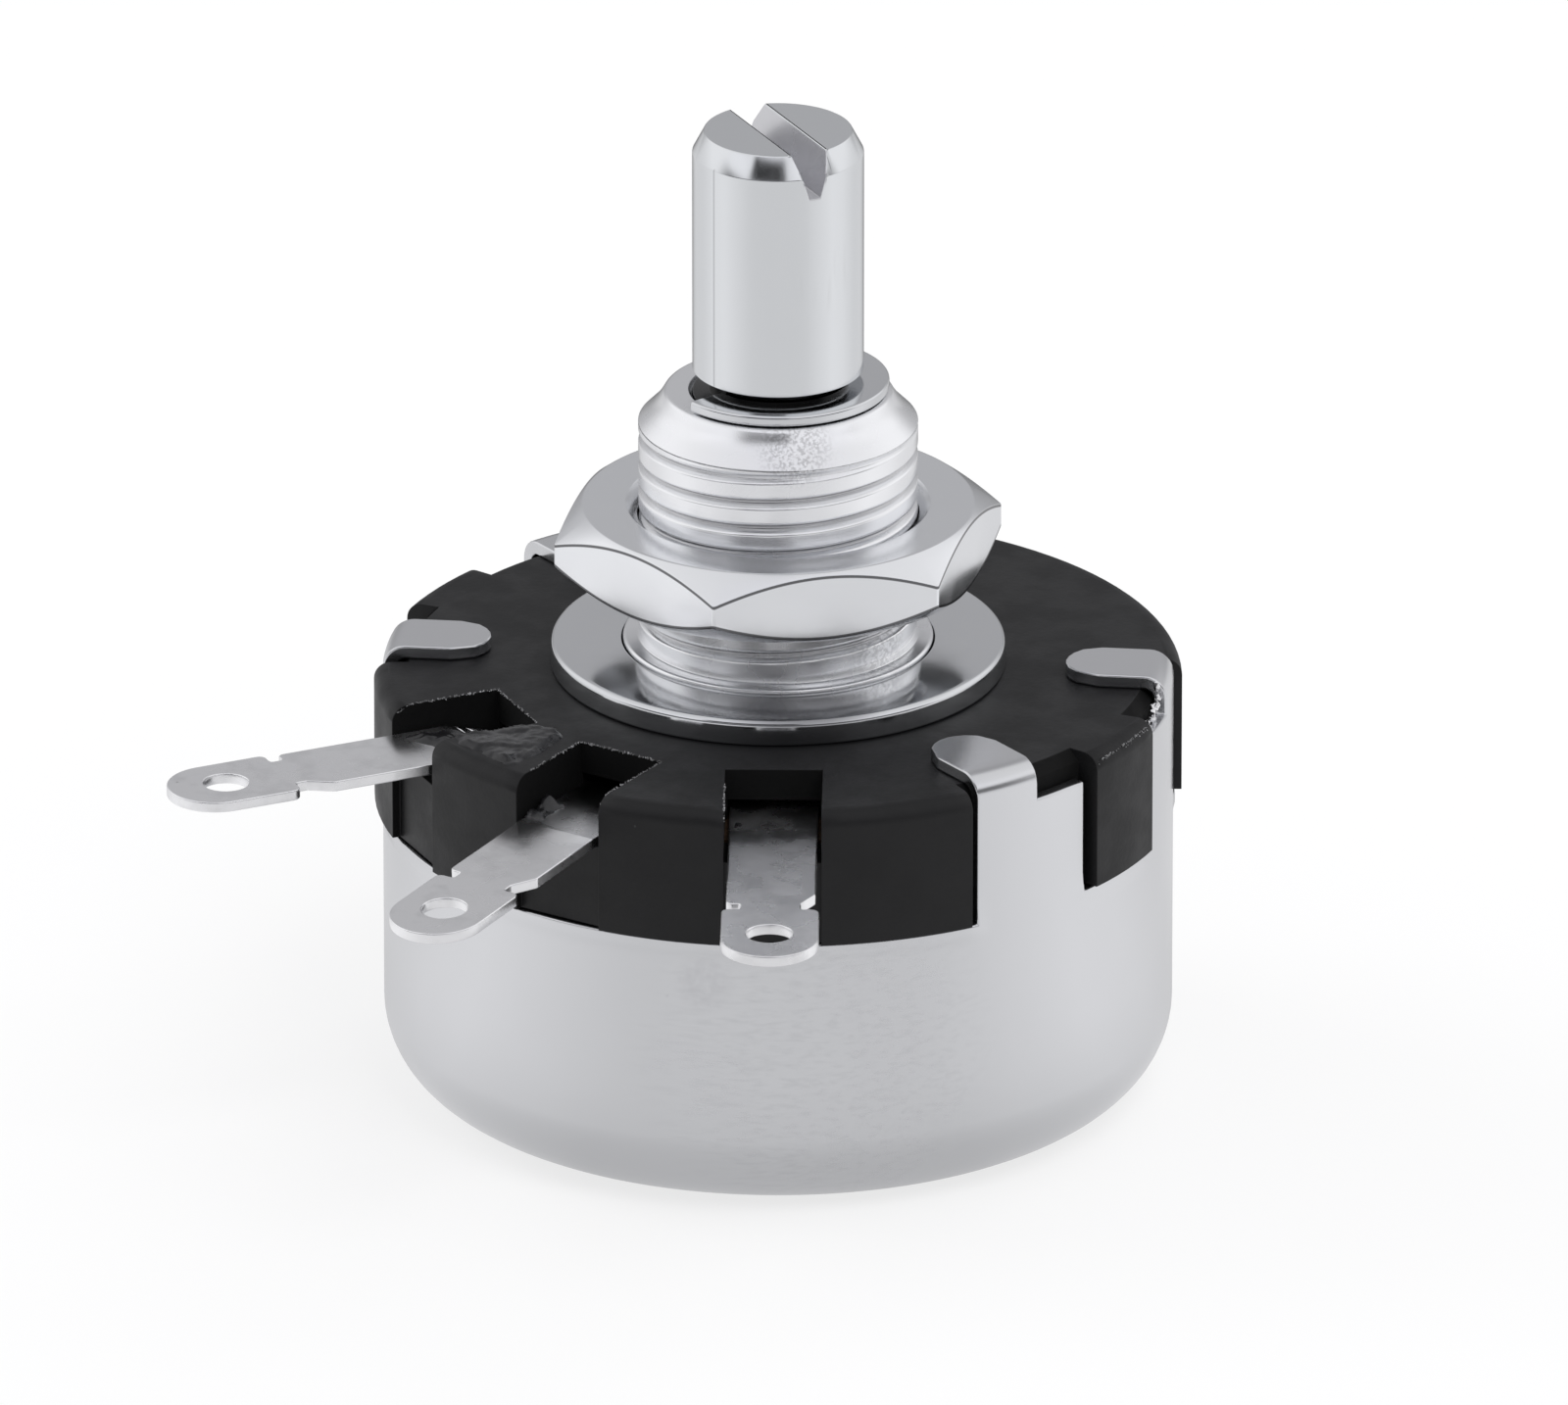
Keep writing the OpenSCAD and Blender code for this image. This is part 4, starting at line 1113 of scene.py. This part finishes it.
def prism(name, outline, low, high, place):
    """A closed prism of an outline in the plane, from low to high, put in place by a matrix."""
    n = len(outline)
    verts = [tuple(place @ Vector((x, y, w))) for w in (low, high) for x, y in outline]
    faces = [tuple(reversed(range(n))), tuple(range(n, 2 * n))]
    faces += [(i, (i + 1) % n, n + (i + 1) % n, n + i) for i in range(n)]
    return make(name, verts, faces)


shaft = turned("slotted_shaft", shaft_outline, round_angles(160))
slot_section = [(-SLOT_FLOOR_W / 2, -SLOT_DEPTH), (SLOT_FLOOR_W / 2, -SLOT_DEPTH),
                (SLOT_TOP_W / 2, 0), (SLOT_TOP_W / 2, 1), (-SLOT_TOP_W / 2, 1), (-SLOT_TOP_W / 2, 0)]
slot_place = (Matrix.Translation((0, 0, TOP_Z)) @ Matrix.Rotation(SLOT_TURN, 4, "Z")
              @ Matrix.Rotation(math.pi / 2, 4, "Z") @ Matrix.Rotation(math.pi / 2, 4, "X"))
cut(shaft, prism("slot_cutter", slot_section, -SLOT_REACH, SLOT_REACH, slot_place))
for s in (1, -1):
    flat = [(-CUT_HALF, TAIL_FLAT * s), (CUT_HALF, TAIL_FLAT * s), (CUT_HALF, CUT_HALF * s),
            (-CUT_HALF, CUT_HALF * s)][::s]
    cut(shaft, prism("flat_cutter", flat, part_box("stop_arm")[0][2] / MM,
                     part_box("thrust_washer")[0][2] / MM, Matrix.Identity(4)))
join_flats(shaft, TOP_Z - 0.02)
edge_round(shaft, 0.045, angle=35, clamp=False)
print("shaft faces", len(shaft.data.polygons))

# %% [markdown]
# ## The base
# The base is one moulding of black phenolic. Its own form is already exact in the frame, so a copy
# of that node is merged into one skin, and only its edges are rounded, as moulded edges are. The
# faces deep in the pockets get a duller, less shiny copy of the black finish, as painted shade.

# %% Round the base's edges
POCKET_R, POCKET_TOP = BASE_R - 0.55, FACE_Z - 0.08
WELD, BASE_FLAT = 0.002, math.radians(0.6)

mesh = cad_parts["base"].data.copy()
mesh.name = "moulded_base"
with opened(mesh) as bm:
    bmesh.ops.remove_doubles(bm, verts=bm.verts, dist=WELD * MM)
    bmesh.ops.dissolve_limit(bm, angle_limit=BASE_FLAT, verts=bm.verts, edges=bm.edges)
mesh.shade_smooth()
base = edge_round(placed("moulded_base", mesh), 0.1)
base.data.materials.clear()
base.data.materials.append(BLACK)
# The second finish is painted shade for the faces deep in the pockets.
base.data.materials.append(POCKET_SHADE)
for face in base.data.polygons:
    spot_at = face.center / MM
    deep = spot_at.z < POCKET_TOP and math.hypot(spot_at.x, spot_at.y) < POCKET_R
    face.material_index = 1 if deep else 0
print("base faces", len(base.data.polygons))

# %% [markdown]
# ## The lugs
# A lug is stamped from tinned sheet. Its outline is drawn once as a flat curve with a notch in each
# side and a solder hole, then thickened, with a fine round on both edges, and turned to its place.
# Each lug has its heading in degrees, and how far out its rivet sits and its inner end lies.

# %% Stamp the three lugs
LUG_W, LUG_HEAD_W = 3.1, 3.4
LUG_HOLE_AT, LUG_HOLE_R = 21.2, 0.8
LUG_NOTCH_AT, LUG_NOTCH_D, LUG_NOTCH_L, LUG_SLANT = 18.8, 0.65, 0.45, 1.1
LUG_PITCH = 32.2
LEFT_LIFT, MIDDLE_BEND = 0.55, 4
LIFT_FROM, LIFT_TO = 10.1, 12.12
LUGS = {"left": (270 - LUG_PITCH, 8.05, 6.92), "middle": (270, 6.0, 4.87),
        "right": (270 + LUG_PITCH, 8.05, 6.92)}
BENDS = {"left": (LEFT_LIFT, 0), "middle": (0, MIDDLE_BEND), "right": (0, 0)}
RIVET_HOLE_R = 0.65
HOLE_ARC = (0, 350, 35)
EDGE_ROUND = 0.06


def lug_outline(inner):
    """One lug seen from above, along +X: two unlike notches and a round tip."""
    half, head = LUG_W / 2, LUG_HEAD_W / 2
    near, far = LUG_NOTCH_AT - LUG_NOTCH_L / 2, LUG_NOTCH_AT + LUG_NOTCH_L / 2
    deep = head - LUG_NOTCH_D
    slant_end = near - LUG_SLANT * (half - deep) / LUG_NOTCH_D
    one_side = [(inner, half), (slant_end, half), (near, deep), (far, deep), (far, head)]
    tip = arc(LUG_TIP_R - head, 0, head, 89.9, -89.9, 24)
    other_side = [(far, -head), (far, -deep), (near, -deep), (near, -half), (inner, -half)]
    corners = [0.05, 0.25, 0.1, 0.1, 0.3] + [0] * len(tip) + [0.25, 0.1, 0.1, 0.25, 0.05]
    return rounded(one_side + tip + other_side, corners, 4)


def bend_lug(piece, lift, angle):
    """Steps a straight lug up inside its slot, or bends it down at the base's edge."""
    turn = Matrix.Rotation(math.radians(angle), 3, "Y")
    pivot = Vector((BASE_R, 0, LUG_TOP)) * MM
    with opened(piece.data) as bm:
        for k in range(9):
            across = LIFT_FROM + (LIFT_TO - LIFT_FROM) * k / 8 if lift else BASE_R
            bmesh.ops.bisect_plane(bm, geom=bm.verts[:] + bm.edges[:] + bm.faces[:],
                                   plane_co=(across * MM, 0, 0), plane_no=(1, 0, 0))
        for vert in bm.verts:
            t = (vert.co.x / MM - LIFT_FROM) / (LIFT_TO - LIFT_FROM)
            vert.co.z += lift * min(max(t, 0), 1) * MM
            if angle and vert.co.x > pivot.x:
                vert.co = pivot + turn @ (vert.co - pivot)


def flat_piece(name, outlines, thickness, low):
    """A flat curve with holes, thickened upwards from low, as a mesh in metres."""
    curve = bpy.data.curves.new(name, "CURVE")
    curve.dimensions = "2D"
    curve.fill_mode = "BOTH"
    for outline in outlines:
        line = curve.splines.new("POLY")
        line.points.add(len(outline) - 1)
        for point, (x, y) in zip(line.points, outline):
            point.co = (x * MM, y * MM, 0, 1)
        line.use_cyclic_u = True
    curve.offset = -EDGE_ROUND * MM
    curve.bevel_depth = EDGE_ROUND * MM
    curve.bevel_resolution = 2
    curve.extrude = (thickness / 2 - EDGE_ROUND) * MM
    holder = placed(name, curve)
    mesh = baked(holder)
    bpy.data.objects.remove(holder)
    mesh.transform(Matrix.Translation((0, 0, (low + thickness / 2) * MM)))
    with opened(mesh) as bm:
        bmesh.ops.remove_doubles(bm, verts=bm.verts, dist=1e-7)
        bmesh.ops.recalc_face_normals(bm, faces=bm.faces)
    piece = placed(name, mesh)
    join_flats(piece)
    return piece


lugs = {}
for side, (turn, rivet_at, inner) in LUGS.items():
    holes = [arc(LUG_HOLE_AT, 0, LUG_HOLE_R, *HOLE_ARC), arc(rivet_at, 0, RIVET_HOLE_R, *HOLE_ARC)]
    lug = flat_piece("lug_" + side, [lug_outline(inner)] + holes, LUG_T, LUG_TOP - LUG_T)
    bend_lug(lug, *BENDS[side])
    lug.data.transform(Matrix.Rotation(math.radians(turn), 4, "Z"))
    lug.data.shade_smooth()
    lugs[side] = lug
print("lugs", {k: len(v.data.polygons) for k, v in lugs.items()})

# %% [markdown]
# ## Resin left over from sealing
# Black sealing resin was wiped over the lugs' roots by hand. A smear is a grid laid over the
# pieces from above: each point falls onto what lies below, the heights are blurred so that the
# resin bridges the steps, and noise gives it lumps. The rim sinks in, so that no edge floats.

# %% Drape the smears
GRID = 0.075
SINK = 0.12
RIM_WOBBLE, WOBBLE_FINE = 0.12, 1.8
SWELL_OVER, SWELL_POWER = 0.45, 0.8
LUMP_MEAN, LUMP_FINE = 0.55, 1.1
DROP_FROM, LOWEST = FACE_Z + 3, FACE_Z - 2.5
SIDES = [(1, 0), (-1, 0), (0, 1), (0, -1)]
BLOCK_SMEAR = [(-13.3, -4.75), (-12.6, -4.3), (-11.6, -3.9), (-10.6, -4.3), (-10.2, -5.2), (-9.2, -5.6),
               (-7.6, -6.2), (-7.3, -7.2), (-8.1, -8.5), (-8.6, -9.5), (-8.95, -10.15), (-9.6, -9.7),
               (-10.5, -8.75), (-11.2, -7.9), (-11.7, -6.9), (-12.2, -5.7), (-12.9, -5.25)]
LUG_CRUMBS = [(-9.1, -10.7), (-8.9, -9.9), (-8.4, -9.2), (-7.7, -9.2), (-7.3, -9.8), (-7.5, -10.6),
              (-8.2, -11.1)]
SIDE_SMUDGE = [(-1.75, -11.0), (-1.2, -10.9), (-1.0, -11.4), (-1.3, -12.0), (-1.7, -11.8)]


def rim_distance(spot, outline):
    """How deep a spot lies inside an outline in the plane; below 0 it is outside."""
    inside, least = False, 1e9
    for a, b in zip(outline, outline[1:] + outline[:1]):
        if (a[1] > spot[1]) != (b[1] > spot[1]):
            if spot[0] < a[0] + (spot[1] - a[1]) / (b[1] - a[1]) * (b[0] - a[0]):
                inside = not inside
        line = Vector(b) - Vector(a)
        t = min(max((Vector(spot) - Vector(a)).dot(line) / line.length_squared, 0), 1)
        least = min(least, (Vector(spot) - Vector(a) - line * t).length)
    return least if inside else -least


def ground_of(pieces):
    """One search tree over the faces of some pieces."""
    verts, faces = [], []
    for piece in pieces:
        faces += [[len(verts) + v for v in face.vertices] for face in piece.data.polygons]
        verts += [v.co.copy() for v in piece.data.vertices]
    return BVHTree.FromPolygons(verts, faces)


def smear(name, pieces, outline, thick, blur, lumps):
    """A lumpy sheet draped over some pieces inside an outline given as the camera sees it."""
    ground = ground_of(pieces)
    low = [min(p[k] for p in outline) for k in (0, 1)]
    high = [max(p[k] for p in outline) for k in (0, 1)]
    depth, fall, place = {}, {}, {}
    for i in range(int((high[0] - low[0]) / GRID) + 3):
        for j in range(int((high[1] - low[1]) / GRID) + 3):
            spot = (low[0] + (i - 1) * GRID, low[1] + (j - 1) * GRID)
            x, y, _ = seen_at(*spot, 0)
            wobble = mnoise.noise(Vector((x, y, 7)) * WOBBLE_FINE)
            deep = rim_distance(spot, outline) + RIM_WOBBLE * wobble
            hit = ground.ray_cast(Vector((x, y, DROP_FROM)) * MM, Vector((0, 0, -1)))[0]
            if deep > 0 and hit and hit.z / MM > LOWEST:
                depth[i, j], fall[i, j], place[i, j] = deep, hit.z / MM, (x, y)
    level = dict(fall)
    for _ in range(blur):
        level = {(i, j): max(fall[i, j], sum(level.get((i + a, j + b), h) for a, b in SIDES) / 4)
                 for (i, j), h in level.items()}
    keys = {key: n for n, key in enumerate(depth)}
    verts = []
    for key in keys:
        x, y = place[key]
        lump = LUMP_MEAN + lumps * mnoise.fractal(Vector((x, y, 3)) * LUMP_FINE, 1.0, 2.2, 3)
        swell = min(1, depth[key] / SWELL_OVER) ** SWELL_POWER
        verts.append((x, y, level[key] + swell * thick * max(lump, 0.05) - (1 - swell) * SINK))
    faces = [(keys[i, j], keys[i + 1, j], keys[i + 1, j + 1], keys[i, j + 1]) for i, j in keys
             if all(k in keys for k in ((i + 1, j), (i + 1, j + 1), (i, j + 1)))]
    return modified(make(name, verts, faces), "SOLIDIFY", thickness=SINK * MM, offset=-1)


smears = [smear("resin_smear", [base, lugs["left"]], BLOCK_SMEAR, 0.22, 10, 0.7),
          smear("resin_crumbs", [lugs["middle"]], LUG_CRUMBS, 0.45, 2, 1.0),
          smear("resin_smudge", [lugs["right"]], SIDE_SMUDGE, 0.12, 2, 1.0)]
print("smears", {piece.name: len(piece.data.polygons) for piece in smears})

# %% [markdown]
# ## Chipped edges
# The moulding's sharp edges have tiny pale chips. A Geometry Nodes tree walks along lines that
# follow those edges, drops a flake every so often with a random size and turn, and skips some.

# %% Scatter the chips along the edges
KEEP_SHARE = 0.6
FLAKE_LEAST, FLAKE_MOST = (0.3, 0.25, 0.15), (1.3, 0.8, 0.5)
RIM_IN, RIM_HALF = 10.05, 1.7
SLOT_RIMS = [("left", [(13.9, -RIM_HALF, -0.25), (13.4, -RIM_HALF, 0), (RIM_IN, -RIM_HALF, 0),
                       (RIM_IN, RIM_HALF, 0)]),
             ("middle", [(13.2, -RIM_HALF, 0), (RIM_IN, -RIM_HALF, 0), (RIM_IN, RIM_HALF, 0),
                         (13.5, RIM_HALF, 0), (13.95, RIM_HALF, -0.3)]),
             ("right", [(11.4, -RIM_HALF, 0), (13.6, -RIM_HALF, 0), (14.0, -RIM_HALF, -0.3)])]
WORN_EDGES = [[(11.15, -8.66, -0.35), (12.15, -7.17, -0.33), (12.95, -5.58, -0.3)],
              [(11.25, -8.57, -0.25), (12.24, -6.98, -0.22), (12.85, -5.68, -0.2)],
              [(2.9, -13.85, -4.9), (3.6, -13.7, -4.9)]]
CAN_BURRS = [[(13.2, -2.8, 0.3), (13.25, -2.8, -0.3), (13.2, -2.85, -0.85), (12.95, -3.8, -0.85),
              (12.7, -4.6, -0.9), (12.6, -4.95, -0.95)],
             [(13.3, -3.0, -0.2), (13.15, -3.6, -0.7), (12.85, -4.5, -0.95)]]


def chips_tree(finish):
    """Flakes of random size and turn along lines, in one finish."""
    tree, given = geometry_tree("edge_chips", ["Spacing", "Size", "Scatter", "Seed"])
    line = wire(tree, "GeometryNodeMeshToCurve", {"Mesh": given["Geometry"]})
    points = wire(tree, "GeometryNodeCurveToPoints", {"Curve": line, "Length": given["Spacing"]},
                  mode="LENGTH")
    shift = wire(tree, "FunctionNodeRandomValue", {0: (-1, -1, -1), "Seed": given["Seed"]},
                 data_type="FLOAT_VECTOR")
    spread = wire(tree, "ShaderNodeVectorMath", {0: shift, "Scale": given["Scatter"]}, operation="SCALE")
    moved = wire(tree, "GeometryNodeSetPosition", {"Geometry": points, "Offset": spread})
    flake = wire(tree, "GeometryNodeMeshIcoSphere", {"Subdivisions": 1, "Radius": given["Size"]})
    keep = wire(tree, "FunctionNodeRandomValue", {"Probability": KEEP_SHARE}, 3, data_type="BOOLEAN")
    turn = wire(tree, "FunctionNodeRandomValue", {1: (2 * math.pi,) * 3}, data_type="FLOAT_VECTOR")
    size = wire(tree, "FunctionNodeRandomValue", {0: FLAKE_LEAST, 1: FLAKE_MOST},
                data_type="FLOAT_VECTOR")
    flakes = wire(tree, "GeometryNodeInstanceOnPoints",
                  {"Points": moved, "Instance": flake, "Selection": keep, "Rotation": turn, "Scale": size})
    return closed_in(tree, flakes, finish)


def scatter(name, lines, finish, **sizes):
    """Flakes along lines of points in millimetres, as one plain mesh."""
    points, pairs = [], []
    for line in lines:
        first = len(points)
        points += [tuple(c * MM for c in point) for point in line]
        pairs += [(k, k + 1) for k in range(first, len(points) - 1)]
    mesh = bpy.data.meshes.new(name)
    mesh.from_pydata(points, pairs, [])
    return grown(placed(name, mesh), chips_tree(finish), **sizes)


chip_lines = [[seen_at(*point) for point in line] for line in WORN_EDGES]
for side, line in SLOT_RIMS:
    turn = Matrix.Rotation(math.radians(LUGS[side][0]), 3, "Z")
    chip_lines.append([turn @ Vector((r, off, 0)) + Vector((0, 0, FACE_Z + up)) for r, off, up in line])
chips = scatter("edge_chips", chip_lines, PALE, Spacing=0.03, Size=0.045, Scatter=0.03, Seed=5)
burr_lines = [[seen_at(*point) for point in line] for line in CAN_BURRS]
burrs = scatter("can_burrs", burr_lines, TINNED, Spacing=0.12, Size=0.19, Scatter=0.1, Seed=2)
print("chip faces", len(chips.data.polygons), "burr faces", len(burrs.data.polygons))

# %% [markdown]
# ## Carry every piece
# Each piece stands for its CAD node and moves with that node's body.

# %% Ride and replace
CARRIED = [(can, "housing", "can", "can_steel"), (base, "housing", "base", "phenolic"),
           (bush, "housing", "bush", "nickel"), (washer, "housing", "washer", "nickel"),
           (nut, "nut", "nut", "nickel"), (shaft, "rotor", "shaft", "nickel"),
           (clip, "rotor", "retaining_clip", "nickel"),
           (lugs["left"], "housing", "terminal_left", "tinned_lug"),
           (lugs["middle"], "housing", "terminal_middle", "tinned_lug"),
           (lugs["right"], "housing", "terminal_right", "tinned_lug")]
for piece, body, node_name, slot_name in CARRIED:
    firm(piece)
    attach(piece, body)
    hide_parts(node_name)
for piece, slot_name in [(smudge, "phenolic") for smudge in smears] + [(chips, "phenolic"),
                                                                       (burrs, "can_steel")]:
    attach(piece, "housing")

# %% [markdown]
# ## Give every piece its finish
# The dressed pieces and the nodes that stay as they are, inside the body too, each get a finish.

# %% Assign the finishes
WORN_BY = [(can, SATIN), (bush, TURNED), (washer, FLAT), (nut, NUT), (shaft, DRAWN),
           (clip, FLAT), *((lug, TINNED) for lug in lugs.values()), *((piece, RESIN) for piece in smears)]
INNER = {"track_board": BOARD, "carbon_track": CARBON, "silver_pad_left": SILVER,
         "silver_pad_right": SILVER, "collector_ring": SILVER, "rivet_left": TINNED,
         "rivet_middle": TINNED, "rivet_right": TINNED, "thrust_washer": FIBRE, "rotor_disc": BLACK,
         "stop_arm": SATIN, "wiper_spring": BRONZE, "track_brush": CARBON, "ring_brush": CARBON,
         "spring_rivet_left": TINNED, "spring_rivet_right": TINNED}
WORN_BY += [(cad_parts[name], finish) for name, finish in INNER.items()]
for piece, finish in WORN_BY:
    piece.data.materials.clear()
    piece.data.materials.append(finish)
print("pieces finished", len(WORN_BY))

# %% [markdown]
# ## The dressed size
# The size of the dressed model is printed in millimetres, as the CAD box was at the start.

# %% Print the dressed size
visual_box = [list(corner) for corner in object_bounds()]
print("visual box in mm", [[round(c / MM, 2) for c in p] for p in visual_box])
